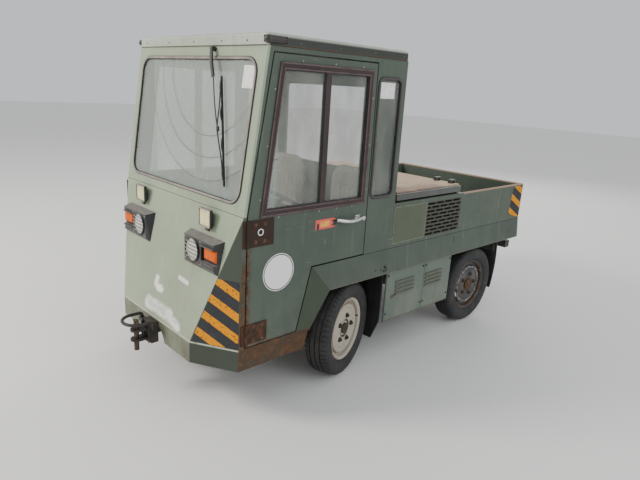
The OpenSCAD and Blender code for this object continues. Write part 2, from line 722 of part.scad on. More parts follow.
wheel_c = [300, 452, 1062];
column_tilt = 28;
module dashboard() {
    color("#3a3d3c") {
        // Console across the cab under the windscreen
        side_sheet(-inner_w + 40, 2 * inner_w - 80) polygon([[20, 860], [22, 1010], [26, 1040],
            [150, 1040], [185, 1010], [170, 930], [110, 880]]);
        // Brackets that carry the console on the nose panel
        for (x = [-450, -40, 380]) side_sheet(x, 60) polygon([[nose_y(900) + skin + fit_gap, 900],
            [nose_y(1000) + skin + fit_gap, 1000], [21, 1000], [21, 900]]);
        // Steering column from the floor to the wheel
        intersection() {
            translate(wheel_c) rotate([-column_tilt, 0, 0])
                translate([0, 0, -800]) cylinder(r = 24, h = 800 - 33 - fit_gap);
            translate([0, -200, nose_z + sheet + fit_gap]) cube([600, 900, 900]);
        }
        // Box between the seats with two levers
        translate([-90, 620, band_z + sheet + fit_gap]) cube([180, 300, 210]);
        for (x = [-40, 30]) hull() {
            translate([x, 660, band_z + sheet + 205]) cylinder(r = 8, h = 10, $fn = 16);
            translate([x, 630, 960]) sphere(r = 14, $fn = 16);
        }
    }
}
module steering_wheel() {
    color("#17181a") translate(wheel_c) rotate([-column_tilt, 0, 0]) {
        rotate_extrude($fn = 64) translate([190, 0]) circle(13, $fn = 24);
        translate([0, 0, -33]) cylinder(r = 34, h = 30);
        for (a = [90, 210, 330]) rotate([0, 0, a]) translate([0, -14, -14]) cube([184, 28, 9]);
    }
}
seat_x = 320;
module seats() {
    color("#b9b6a6") both() translate([seat_x, 0, 0]) {
        translate([-200, 640, band_z + sheet + fit_gap]) cube([400, 380, 130]);
        hull() {
            for (y = [640, 1000]) translate([-215, y, 729]) cube([430, 20, 63]);
            for (y = [660, 980]) translate([-195, y, 812]) cube([390, 20, 8]);
        }
        hull() {
            translate([-210, 985, 800]) cube([420, 85, 30]);
            translate([-190, 1022, 1215]) cube([380, 45, 20]);
        }
    }
}

flap_w = 172;
flap_in = 15;
module mudflaps() {
    color("#1b1d1e") both() {
        // The front flap, with its outer lower corner cut off
        translate([0, cab_rear - 10, 0]) rotate([90, 0, 0]) linear_extrude(flap_t) polygon([
            [rail_in + rail_w + 20, 118], [inner_w - 54, 118], [inner_w, 250], [inner_w, band_z - fit_gap],
            [rail_in + rail_w + 20, band_z - fit_gap]]);
        translate([half_w - flap_in - flap_w, flap_y, 195]) cube([flap_w, flap_t, floor_z - sheet - 195 - fit_gap]);
    }
}

// Towing gear

jaw_plate_t = 12;
hoop_z = 402;
jaw_low = 284;
jaw_high = 340;
module tow_jaw_front() {
    color("#232527") {
        difference() {
            union() {
                // Cast block against the skirt, with ribs
                translate([-48, -nose_reach - 44, 262]) cube([96, 44 - fit_gap, 120]);
                // Shank through the skirt's cut-out to the front cross member
                translate([-38, -nose_reach - 10, 312]) cube([76, nose_reach + 10 - 95 - fit_gap, 38]);
                for (x = [-44, -16, 12, 36]) translate([x, -nose_reach - 58, 268]) cube([8, 20, 100]);
                // The two plates that hold the pin
                for (z = [jaw_low, jaw_high]) {
                    translate([-32, tow_pin_y, z]) cube([64, -nose_reach - 10 - tow_pin_y, jaw_plate_t]);
                    translate([0, tow_pin_y, z]) cylinder(r = 32, h = jaw_plate_t);
                }
                hoop();
            }
            translate([0, tow_pin_y, 200]) cylinder(r = tow_pin_r + 0.4, h = 260);
        }
    }
}
// The guide hoop of bent round bar around the pin's handle, whose ends turn down into two blocks
hoop_end = -nose_reach - 36;
hoop_bend = 15;
module hoop() {
    translate([0, hoop_y, hoop_z]) rotate([0, 0, 180]) rotate_extrude(angle = 180, $fn = 64)
        translate([hoop_r, 0]) circle(hoop_tube, $fn = 24);
    both() translate([hoop_r, 0, hoop_z]) {
        translate([0, hoop_y - eps, 0]) rotate([-90, 0, 0])
            cylinder(r = hoop_tube + 0.2, h = hoop_end - hoop_bend - hoop_y + 2 * eps, $fn = 24);
        translate([0, hoop_end - hoop_bend, -hoop_bend]) rotate([90, 0, 90]) rotate_extrude(angle = 90, $fn = 32)
            translate([hoop_bend, 0]) circle(hoop_tube, $fn = 24);
        translate([0, hoop_end, -32]) cylinder(r = hoop_tube + 0.2, h = 32 - hoop_bend + eps, $fn = 24);
    }
    both() translate([40, hoop_end - 13, hoop_z - 44]) cube([hoop_r - 27, 26, 22]);
}
pin_tail = 40;
// A pin with a clip groove above its free tail, a collar on the jaw and a cross handle
module tow_pin(y, low, top) {
    translate([0, y, low]) cylinder(r = tow_pin_r, h = pin_tail);
    translate([0, y, low + pin_tail - eps]) cylinder(r = tow_pin_r - 2, h = 4);
    translate([0, y, low + pin_tail + 3]) cylinder(r = tow_pin_r, h = top - low - pin_tail - 3);
    translate([-30, y, top - 9]) rotate([0, 90, 0]) cylinder(r = 6, h = 60);
    translate([0, y, jaw_high + jaw_plate_t + fit_gap]) cylinder(r = tow_pin_r + 5, h = 8);
}
module tow_pin_front() { color("#4b4038") tow_pin(tow_pin_y, 226, 402); }

module tow_jaw_rear() {
    back = body_rear - wall - 2 + fit_gap;
    color("#232527") difference() {
        union() {
            translate([-60, back, 270]) cube([120, 24, band_z - 272]);
            for (z = [jaw_low, jaw_high]) {
                translate([-rear_jaw_r, back + 10, z]) cube([2 * rear_jaw_r, rear_pin_y - back - 10, jaw_plate_t]);
                translate([0, rear_pin_y, z]) cylinder(r = rear_jaw_r, h = jaw_plate_t);
            }
        }
        translate([0, rear_pin_y, 200]) cylinder(r = tow_pin_r + 0.4, h = 260);
    }
}
module tow_pin_rear() { color("#4b4038") tow_pin(rear_pin_y, 240, 402); }

// Doors

window = [[door_front + 66, belt_z - 10], [door_rear - 28, belt_z - 10], [door_rear - 28, door_top - 34],
    [door_front_top + 34, door_top - 34]];
// The window frame's outline moved inwards by o
module window_outline(o) {
    k = (window[3][0] - window[0][0]) / (window[3][1] - window[0][1]);
    s = sqrt(1 + k * k);
    polygon([[window[0][0] + o * (s + k), window[0][1] + o], [window[1][0] - o, window[1][1] + o],
        [window[2][0] - o, window[2][1] - o], [window[3][0] + o * (s - k), window[3][1] - o]]);
}
module door() {
    g = door_gap;
    difference() {
        union() {
            side_sheet(inner_w, wall) polygon([[door_front, door_z], [door_low_rear, door_z],
                [door_step, crease_z + g], [door_rear, crease_z + g], [door_rear, door_top],
                [door_edge(door_top), door_top], [door_front, belt_z]]);
            side_sheet(half_w - eps, 4 + eps) window_outline(0);
        }
        side_sheet(inner_w - 1, wall + 10) window_outline(frame_w);
        // Room for the body's hinge barrels
        for (h = hinges) translate([hinge_x, hinge_y, h[0] - h[1] / 2 - 1]) cylinder(r = hinge_r + 1, h = h[1] + 2);
    }
    // The bar between the two panes
    side_sheet(half_w - 20, 22) intersection() {
        translate([474, 0]) square([38, 3000]);
        window_outline(frame_w - 1);
    }
    for (h = hinges) difference() {
        union() {
            translate([half_w - eps, hinge_y + 2, h[0] - h[1] / 6]) cube([leaf_t + eps, 14, h[1] / 3]);
            translate([half_w - eps, hinge_y + hinge_r + 4, h[0] - h[1] / 2]) cube([leaf_t + eps, h[2], h[1]]);
            translate([hinge_x, hinge_y, h[0] - h[1] / 6]) cylinder(r = hinge_r, h = h[1] / 3);
        }
        translate([hinge_x, hinge_y, h[0] - h[1]]) cylinder(r = hinge_pin_r + 0.1, h = 2 * h[1]);
    }
}
module door_left() { color("#56645a") door(); }
module door_right() { color("#56645a") mirror([1, 0, 0]) door(); }

// The front pane lies outside the bar and the rear pane behind it
module door_glass() {
    o = frame_w + fit_gap;
    side_sheet(half_w - 12, glass_t) difference() {
        window_outline(o);
        translate([474 - fit_gap, 0]) square([900, 3000]);
    }
    side_sheet(half_w - 18, glass_t) difference() {
        window_outline(o);
        translate([0, 0]) square([512 + fit_gap, 3000]);
    }
}
module door_glass_left() { color("#9fb0ae", 0.4) door_glass(); }
module door_glass_right() { color("#9fb0ae", 0.4) mirror([1, 0, 0]) door_glass(); }

// Front end, rear end and height of the handle: a bowed bar on a post with a lock button at its rear
handle = [608, 808, 986];
module handle_knot(x, y, z, r) {
    translate([half_w + x, y, handle[2] + z]) rotate([0, 90, 0]) cylinder(r = r, h = 9, $fn = 24);
}
module door_handle() {
    x = half_w + fit_gap;
    translate([x, handle[1] - 50, handle[2] - 14]) cube([6, 46, 28]);
    translate([x, handle[1] - 16, handle[2]]) rotate([0, 90, 0]) cylinder(r = 11, h = 42, $fn = 32);
    hull() {
        handle_knot(31, handle[1] - 33, 0, 10);
        handle_knot(31, handle[1] - 110, -3, 11);
    }
    hull() {
        handle_knot(31, handle[1] - 110, -3, 11);
        handle_knot(12, handle[0] + 7, 3, 7);
    }
}
module door_handle_left() { color("#c9cac6") door_handle(); }
module door_handle_right() { color("#c9cac6") mirror([1, 0, 0]) door_handle(); }

// Wheels and steering

// Turns a left-hand part about its kingpin; the right-hand one is turned the same way
module steered(side) {
    translate([side * kingpin_x, front_axle_y, 0]) rotate([0, 0, park_steer])
        translate([-side * kingpin_x, -front_axle_y, 0]) children();
}

// Half section of the tyre's outline: distance from the middle plane, radius
module tyre_profile() {
    w = tyre_w / 2;
    r = tyre_r;
    // Share of half the width, radius: bead, side wall, shoulder and tread
    half = [[0.6, bead_r + 1], [0.78, flange_r + 2.5], [0.94, flange_r + 18], [1, (bead_r + r) / 2 + 6],
        [0.97, r - 26], [0.9, r - 12], [0.78, r - 4], [0.4, r]];
    difference() {
        polygon([for (s = [1, -1]) for (i = [0:7]) let (p = half[s > 0 ? i : 7 - i]) [p[1], s * p[0] * w]]);
        // Three grooves around the tread
        for (x = [-0.42, 0, 0.42]) translate([r - 8, x * w - 3]) square([20, 6]);
    }
}
module tyre() {
    translate([track_half, 0, hub_z]) rotate([0, 90, 0]) rotate_extrude($fn = 72) tyre_profile();
}

rim_w = 116;
// Section of the rim and disc: radius, distance outwards from the middle plane
module rim_profile() {
    w = rim_w / 2;
    polygon([[flange_r, w], [flange_r - 6, w + 5], [bead_r - 5, w - 6], [bead_r - 7, 34], [bead_r - 26, 26],
        [151, 45], [141, 51], [131, 49], [122, 42], [112, 46], [56, 47], [56, 39], [112, 39], [122, 35],
        [131, 41], [141, 43.5], [146, 38], [bead_r - 30, 20],
        [bead_r - 26, 6], [bead_r - 26, -20], [bead_r - 9, -32], [bead_r - 9, -w + 6], [flange_r - 8, -w - 5],
        [flange_r, -w], [bead_r + 0.7, -w + 10], [bead_r + 0.7, -34], [bead_r - 18, -22], [bead_r - 18, 14],
        [bead_r + 0.7, 28], [bead_r + 0.7, w - 10]]);
}
// Middle angle and width of each long opening near the edge of a rear rim's disc
rim_slots = [161, 45, -70];
slot_angle = 26;
module rim(slots = false) {
    translate([track_half, 0, hub_z]) rotate([0, 90, 0]) difference() {
        union() {
            rotate_extrude($fn = 72) rim_profile();
            // Hub and brake drum
            difference() {
                translate([0, 0, 24]) cylinder(r = 58, h = 18);
                translate([0, 0, 33]) cylinder(r = 46, h = 10);
            }
            translate([0, 0, 33 - eps]) cylinder(r = 31, h = 18);
            difference() {
                translate([0, 0, 8]) cylinder(r = 108, h = 33);
                translate([0, 0, 7]) cylinder(r = 98, h = 26);
            }
        }
        translate([0, 0, -30]) cylinder(r = spindle_r + 0.1, h = 74);
        if (slots) for (a = rim_slots) rotate([0, 0, a - slot_angle / 2])
            rotate_extrude(angle = slot_angle, $fn = 72) translate([142.5, 12]) square([9, 48]);
    }
}

module knuckle() {
    translate([kingpin_x, front_axle_y, hub_z]) {
        // Ears above and below the beam's eye, joined by a web outside it
        for (s = [0, 1]) mirror([0, 0, s]) translate([0, 0, beam_h / 2 + 0.5]) cylinder(r = 26, h = 18);
        difference() {
            translate([0, -24, -beam_h / 2 - 18]) cube([36, 48, beam_h + 36]);
            translate([0, 0, -beam_h / 2 - 0.5]) cylinder(r = 28.6, h = beam_h + 1);
        }
        cylinder(r = kingpin_r, h = beam_h + 44, center = true);
        // The steering arm, straight back to the tie rod's pin
        translate([-12, 0, -beam_h / 2 - 18]) cube([24, steer_arm, 17]);
        translate([0, steer_arm, -beam_h / 2 - 18]) cylinder(r = 16, h = 17);
        translate([0, steer_arm, -beam_h / 2 - 2]) cylinder(r = 7, h = 30);
        translate([32, 0, 0]) rotate([0, 90, 0]) cylinder(r = spindle_r, h = track_half - kingpin_x + 41 - 32);
        translate([32, 0, 0]) rotate([0, 90, 0]) cylinder(r = 30, h = 6);
    }
}
module knuckle_left() { color("#2c2f31") steered(1) knuckle(); }
module knuckle_right() { color("#2c2f31") steered(-1) mirror([1, 0, 0]) knuckle(); }

arm_tip = [-steer_arm * sin(park_steer), steer_arm * cos(park_steer)];
module tie_rod() {
    z = hub_z - 14;
    color("#2c2f31") difference() {
        union() {
            translate([arm_tip[0] - kingpin_x, front_axle_y + arm_tip[1], z + 2]) rotate([0, 90, 0])
                cylinder(r = 10, h = 2 * kingpin_x);
            for (s = [-1, 1]) translate([s * kingpin_x + arm_tip[0], front_axle_y + arm_tip[1], z - 11])
                cylinder(r = 15, h = 22);
        }
        for (s = [-1, 1]) translate([s * kingpin_x + arm_tip[0], front_axle_y + arm_tip[1], z - 30])
            cylinder(r = 7.5, h = 60);
    }
}

module tyre_front_left() { color("#1f1f20") steered(1) translate([0, front_axle_y, 0]) tyre(); }
module tyre_front_right() { color("#1f1f20") steered(-1) mirror([1, 0, 0]) translate([0, front_axle_y, 0]) tyre(); }
module tyre_rear_left() { color("#1f1f20") translate([0, rear_axle_y, 0]) tyre(); }
module tyre_rear_right() { color("#1f1f20") mirror([1, 0, 0]) translate([0, rear_axle_y, 0]) tyre(); }
module rim_front_left() { color("#cfc9b4") steered(1) translate([0, front_axle_y, 0]) rim(); }
module rim_front_right() { color("#cfc9b4") steered(-1) mirror([1, 0, 0]) translate([0, front_axle_y, 0]) rim(); }
module rim_rear_left() { color("#4a443d") translate([0, rear_axle_y, 0]) rim(true); }
module rim_rear_right() { color("#4a443d") mirror([1, 0, 0]) translate([0, rear_axle_y, 0]) rim(true); }

// Engine cover

cover_half = half_w - 3;
// Middle of each catch
catches = [cover_half - 194, cover_half - 74];
cover_hinge_z = cover_top - 4;
cover_hinge_y = cab_rear + 9;
module engine_cover() {
    color("#6a706c") {
        difference() {
            translate([0, 0, cover_low]) linear_extrude(cover_top - cover_low) cover_outline(0);
            translate([0, 0, cover_low - 1]) linear_extrude(cover_top - cover_low - 3) cover_outline(5);
        }
        for (x = cover_hinges) difference() {
            translate([x - cover_hinge_len / 2, cover_hinge_y, cover_hinge_z]) {
                rotate([0, 90, 0]) cylinder(r = 6, h = cover_hinge_len);
                translate([0, 0, -2]) cube([cover_hinge_len, cover_front - cover_hinge_y + 1, 5]);
            }
            translate([x - cover_hinge_len, cover_hinge_y, cover_hinge_z]) rotate([0, 90, 0])
                cylinder(r = cover_pin_r + 0.1, h = 2 * cover_hinge_len);
        }
        // Two catches at the rear edge
        for (x = catches) translate([x - 14, cover_rear - 62, cover_top - eps]) {
            cube([28, 8, 34]);
            translate([0, 44, 0]) cube([28, 8, 34]);
            translate([0, 0, 26]) cube([28, 52, 8]);
        }
    }
}
// Plan of the cover with rounded rear corners, shrunk by o
module cover_outline(o) {
    r = 42 - o;
    translate([-cover_half + o, cover_front + o]) square([2 * cover_half - 2 * o, cover_rear - cover_front - o - 42]);
    translate([-cover_half + 42, cover_rear - 90]) square([2 * cover_half - 84, 90 - o]);
    for (s = [-1, 1]) translate([s * (cover_half - 42), cover_rear - 42]) circle(r);
}
module cover_board() {
    color("#b98f68") translate([0, 0, cover_top + fit_gap]) linear_extrude(board_t) difference() {
        translate([-cover_half + 30, cover_front + 30]) square([2 * cover_half - 60, cover_rear - cover_front - 44]);
        for (x = catches) translate([x - 18, cover_rear - 66]) square([36, 60]);
    }
}

place() chassis_frame();
place() front_axle();
place() rear_axle();
place() engine_block();
place() nose_panel();
place() windscreen_frame();
place() cab_side_left();
place() cab_side_right();
place() cab_rear_wall();
place() cab_roof();
place() cab_floor();
place() wheelhouses();
place() cab_glass();
place() window_seals();
place() fenders();
place() bed_walls();
place() rear_wall();
place() bed_floor();
place() louvre_panels();
place() lamp_housings();
place() lamp_glasses();
place() indicators();
place() roof_lamps();
place() rear_lamps();
place() wiper();
place() dashboard();
place() seats();
place() mudflaps();
place() tow_jaw_front();
place() tow_jaw_rear();
place() door_left();
place() door_right();
place() door_glass_left();
place() door_glass_right();
place() door_handle_left();
place() door_handle_right();
place() knuckle_left();
place() knuckle_right();
place() tie_rod();
place() tyre_front_left();
place() tyre_front_right();
place() tyre_rear_left();
place() tyre_rear_right();
place() rim_front_left();
place() rim_front_right();
place() rim_rear_left();
place() rim_rear_right();
place() steering_wheel();
place() tow_pin_front();
place() tow_pin_rear();
place() engine_cover();
place() cover_board();
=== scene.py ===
import math
import bpy
import numpy as np
from mathutils import Matrix, Vector


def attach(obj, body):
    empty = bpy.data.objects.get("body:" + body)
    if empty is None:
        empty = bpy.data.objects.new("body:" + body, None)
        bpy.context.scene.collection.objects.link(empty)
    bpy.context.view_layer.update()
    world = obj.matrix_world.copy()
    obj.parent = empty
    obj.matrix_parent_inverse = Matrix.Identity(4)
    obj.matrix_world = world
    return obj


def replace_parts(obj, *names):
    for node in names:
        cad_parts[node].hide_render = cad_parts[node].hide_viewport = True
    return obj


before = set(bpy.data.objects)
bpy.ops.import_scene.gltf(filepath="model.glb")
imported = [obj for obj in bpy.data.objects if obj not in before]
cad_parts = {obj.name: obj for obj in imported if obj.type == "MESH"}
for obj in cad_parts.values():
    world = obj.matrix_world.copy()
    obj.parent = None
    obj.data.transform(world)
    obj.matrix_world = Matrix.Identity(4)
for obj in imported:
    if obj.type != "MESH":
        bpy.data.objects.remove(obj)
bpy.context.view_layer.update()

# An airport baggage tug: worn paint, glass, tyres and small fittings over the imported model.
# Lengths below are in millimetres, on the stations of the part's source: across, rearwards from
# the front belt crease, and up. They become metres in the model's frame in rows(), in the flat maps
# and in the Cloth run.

# Sizes shared with the part's source
MID_STATION = 1249.5
HALF_W = 617
WALL = 28
BELT_Z = 1073
ROOF_LOW = 1846
ROOF_FRONT = 121
LEAN = math.atan(ROOF_FRONT / (1901 - BELT_Z))
NOSE_REACH = 156
NOSE_HALF = 382
NOSE_Z = 393
NOSE_CORNER = 19
CREASE_Z = 748
BAND_Z = 591
BAND_FLARE = 16
CAB_REAR = 1106
BODY_REAR = 2720
TYRE_R = 287
TRACK = 537
FRONT_AXLE = 762
REAR_AXLE = 2127
KINGPIN = TRACK - 17
PARK_STEER = 18
HEAD_FRONT = -86
LAMP_LOW = 783
LAMP_HIGH = 922

# Places that a finish and a piece share: the wiper's pivot on the windscreen, and the slope of the
# edge between the nose's front and its facets
PIVOT_X = 196
PIVOT_UP = 764
FACET_SLOPE = (HALF_W - NOSE_HALF) / (BELT_Z - NOSE_Z)


# Shapes

def rows(points):
    """Rows of across, station and height in millimetres as metres in the model's frame."""
    return (np.asarray(points, float).reshape(-1, 3) - (0, MID_STATION, 0)) / 1000


def grid(points, wrap_u=False, wrap_v=False, cap_u=False):
    """Faces over an array of points [u, v]: each face joins (u, v), (u+1, v), (u+1, v+1), (u, v+1),
    and cap_u closes the first and last row of a wrapped v with one face each."""
    points = np.asarray(points, float)
    nu, nv = points.shape[:2]
    u = np.arange(nu if wrap_u else nu - 1)[:, None]
    v = np.arange(nv if wrap_v else nv - 1)[None, :]
    u2, v2 = (u + 1) % nu, (v + 1) % nv
    faces = np.stack([u * nv + v, u2 * nv + v, u2 * nv + v2, u * nv + v2], -1).reshape(-1, 4)
    caps = [np.arange(nv), np.arange(nv)[::-1] + (nu - 1) * nv] if cap_u else []
    return points.reshape(-1, 3), [f.tolist() for f in faces] + [c.tolist() for c in caps]


def flipped(part):
    """The same faces seen from their other side."""
    return part[0], [f[::-1] for f in part[1]]


def mirrored(part):
    """A part for the vehicle's other side: x becomes -x and the faces turn over."""
    return part[0] * (-1, 1, 1), [f[::-1] for f in part[1]]


def moved(part, matrix=None, by=(0, 0, 0)):
    """Each point times a 3 by 3 matrix, plus a shift."""
    points = part[0] if matrix is None else part[0] @ np.asarray(matrix, float).T
    return points + np.asarray(by, float), part[1]


def turn(axis, degrees):
    """The 3 by 3 matrix of a turn about a coordinate axis or a vector."""
    return np.array(Matrix.Rotation(math.radians(degrees), 3, axis))


def facing(direction):
    """The 3 by 3 matrix that carries +Z to a direction."""
    return np.array(Vector(direction).to_track_quat("Z", "Y").to_matrix())


def revolve(profile, sides=32, ring=False):
    """A profile of (radius, height) turned about +Z: (r cos a, r sin a, h) for every angle a. A
    ring's profile is closed upon itself."""
    profile = np.asarray(profile, float)
    a = np.arange(sides) * 2 * math.pi / sides
    r, h = profile[:, 0][:, None], profile[:, 1][:, None]
    return grid(np.stack([r * np.cos(a), r * np.sin(a), h + 0 * a], -1)[:, ::-1],
                wrap_u=ring, wrap_v=True, cap_u=not ring)


def soft_box(size, r, fine=4):
    """A box with rounded edges: each direction n of a sphere gives sign(n) * (size / 2 - r) + r n."""
    half = np.asarray(size, float) / 2 - r
    quarter = np.linspace(0, math.pi / 2, fine)
    a = np.concatenate([quarter + k * math.pi / 2 for k in range(4)])
    side = np.repeat(np.arange(4), fine)
    b = np.concatenate([quarter - math.pi / 2, quarter])
    top = np.repeat([-1, 1], fine)[:, None]
    sx, sy = np.array([1, -1, -1, 1])[side], np.array([1, 1, -1, -1])[side]
    n = np.stack([np.cos(b)[:, None] * np.cos(a), np.cos(b)[:, None] * np.sin(a),
                  np.sin(b)[:, None] + 0 * a], -1)
    corner = np.stack([sx * half[0] + 0 * top, sy * half[1] + 0 * top, top * half[2] + 0 * a], -1)
    return grid((corner + r * n)[:, ::-1], wrap_v=True, cap_u=True)


def sweep(path, profile, closed=False, up=(0, 0, 1), grow=None):
    """A closed profile of (side, up) pairs carried along a path: at each point, the path plus
    side times (up x tangent) plus the rest times the second normal, all times grow there."""
    path = np.asarray(path, float)
    profile = np.asarray(profile, float)
    if closed:
        tangent = np.roll(path, -1, 0) - np.roll(path, 1, 0)
    else:
        tangent = np.gradient(path, axis=0)
    tangent /= np.linalg.norm(tangent, axis=1, keepdims=True)
    side = np.cross(np.broadcast_to(up, path.shape), tangent)
    side /= np.linalg.norm(side, axis=1, keepdims=True)
    lift = np.cross(tangent, side)
    grow = np.ones(len(path)) if grow is None else np.asarray(grow, float)
    points = path[:, None] + grow[:, None, None] * (profile[:, 0][None, :, None] * side[:, None]
                                                    + profile[:, 1][None, :, None] * lift[:, None])
    return grid(points[:, ::-1], wrap_u=closed, wrap_v=True, cap_u=not closed)


def disc(r, sides=12):
    """A round profile of a sweep: (r cos a, r sin a)."""
    a = np.arange(sides) * 2 * math.pi / sides
    return np.stack([r * np.cos(a), r * np.sin(a)], -1)


def along(points, step=8):
    """A path through given points: a Catmull-Rom curve, which at t between b and c is
    half of (2 b + (c - a) t + (2 a - 5 b + 4 c - d) t^2 + (3 b - a - 3 c + d) t^3)."""
    p = np.asarray(points, float)
    p = np.vstack([2 * p[0] - p[1], p, 2 * p[-1] - p[-2]])
    t = np.linspace(0, 1, step, endpoint=False)[None, :, None]
    a, b, c, d = (p[k:len(p) - 3 + k][:, None] for k in range(4))
    curve = (2 * b + (c - a) * t + (2 * a - 5 * b + 4 * c - d) * t ** 2
             + (3 * b - a - 3 * c + d) * t ** 3) / 2
    return np.vstack([curve.reshape(-1, 3), p[-2]])


def slab(outline, profile):
    """A closed form over a flat outline: each (inset, height) of the profile gives a ring, which is
    the outline drawn towards its middle by the inset and raised to the height."""
    outline = np.asarray(outline, float)
    middle = outline.mean(0)
    reach = np.linalg.norm(outline - middle, axis=1, keepdims=True)
    rings = [np.column_stack([middle + (outline - middle) * (1 - inset / reach), 0 * outline[:, 0] + height])
             for inset, height in profile]
    return grid(np.array(rings)[:, ::-1], wrap_v=True, cap_u=True)


def plate(outline, thick, edge=1.0):
    """A flat plate on z = 0 with a broken top edge."""
    return slab(outline, [(0, 0), (0, thick - edge), (edge, thick)])


def lidded(points):
    """A height field [u, v] closed below by one face around its border."""
    nu, nv = points.shape[:2]
    made, faces = grid(points)
    place = np.arange(nu * nv).reshape(nu, nv)
    border = np.concatenate([place[:-1, 0], place[-1, :-1], place[:0:-1, -1], place[0, :0:-1]])
    return made, faces + [border[::-1].tolist()]


def round_corners(w, h, r, fine=5):
    """The outline of a w by h rectangle about the origin whose corners are arcs of radius r, or of
    four radii from the upper right one round to the lower right one."""
    a = np.concatenate([np.linspace(k, k + 1, fine) * math.pi / 2 for k in range(4)])
    r = np.repeat(np.broadcast_to(r, 4), fine)
    sx = np.repeat([1, -1, -1, 1], fine)
    sy = np.repeat([1, 1, -1, -1], fine)
    return np.stack([sx * (w / 2 - r) + r * np.cos(a), sy * (h / 2 - r) + r * np.sin(a)], -1)


def bolt(r, height):
    """A hexagon head with a domed top on a round washer, standing on z = 0."""
    head = revolve([(r, 0), (r, height * 0.8), (r * 0.8, height), (r * 0.3, height * 1.05)], 6)
    ring = revolve([(r * 1.5, 0), (r * 1.5, 0.8), (r * 1.35, 1.2), (0.5, 1.2)], 16)
    return [head, ring]


def rivet(r=4, height=2.4):
    """A low round head on z = 0: height times the square root of 1 - (distance / r) squared."""
    t = np.linspace(0, 1, 5)
    return revolve(np.stack([r * np.cos(t * 1.4), height * np.sin(t * 1.4) + 0.02], -1), 12)


def on_side(parts, station, z, x=HALF_W):
    """Parts that stand on z = 0, turned to look outwards, at x and a station and height."""
    return [moved(p, facing((1, 0, 0)), (x, station, z)) for p in parts]


def outward(part):
    """Turns a closed part over when its faces look inwards: its volume, the sum over all triangles
    of a . (b x c) / 6 about its middle, is then negative."""
    points, faces = part
    points = points - points.mean(0)
    a, b, c = points[np.array([(f[0], f[k], f[k + 1]) for f in faces for k in range(1, len(f) - 1)]).T]
    return part if np.einsum("ij,ij", a, np.cross(b, c)) > 0 else flipped(part)


def piece(name, body, material, parts, mirror=False, smooth=35, uv=None):
    """One object from several closed parts, on a body and in a material, its place in its mesh."""
    parts = [outward(p) for p in parts]
    if mirror:
        parts += [mirrored(p) for p in parts]
    starts = np.cumsum([0] + [len(p[0]) for p in parts])
    faces = [[i + s for i in f] for p, s in zip(parts, starts) for f in p[1]]
    mesh = bpy.data.meshes.new(name)
    mesh.from_pydata(rows(np.vstack([p[0] for p in parts])), [], faces)
    if uv is not None:
        corner = np.empty(len(mesh.loops), int)
        mesh.loops.foreach_get("vertex_index", corner)
        layer = mesh.uv_layers.new(name="flat")
        layer.data.foreach_set("uv", np.asarray(uv, float)[corner].ravel())
    mesh.validate()
    made = bpy.data.objects.new(name, mesh)
    bpy.context.scene.collection.objects.link(made)
    mesh.materials.append(material)
    if smooth:
        mesh.shade_smooth()
        mesh.set_sharp_from_angle(angle=math.radians(smooth))
    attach(made, body)
    return made


# Materials

class Value:
    """A number that varies over a surface. Arithmetic on it adds Math nodes."""

    def __init__(self, paint, socket):
        self.paint = paint
        self.socket = socket

    def __add__(self, other):
        return self.paint.math("ADD", self, other)

    def __sub__(self, other):
        return self.paint.math("SUBTRACT", self, other)

    def __rsub__(self, other):
        return self.paint.math("SUBTRACT", other, self)

    def __mul__(self, other):
        return self.paint.math("MULTIPLY", self, other)

    def __truediv__(self, other):
        return self.paint.math("DIVIDE", self, other)

    def __or__(self, other):
        return self.paint.math("MAXIMUM", self, other)

    __radd__ = __add__
    __rmul__ = __mul__

    def step(self, low, high):
        """0 below low and 1 above high, smooth between them; high below low turns it over."""
        if high < low:
            return 1 - self.step(high, low)
        node = self.paint.node("ShaderNodeMapRange", {"interpolation_type": "SMOOTHSTEP"},
                               {"Value": self, "From Min": low, "From Max": high})
        return Value(self.paint, node.outputs[0])

    def between(self, low, high, soft):
        """1 from low to high, falling to 0 over soft at both ends."""
        return self.step(low - soft, low + soft) * self.step(high + soft, high - soft)


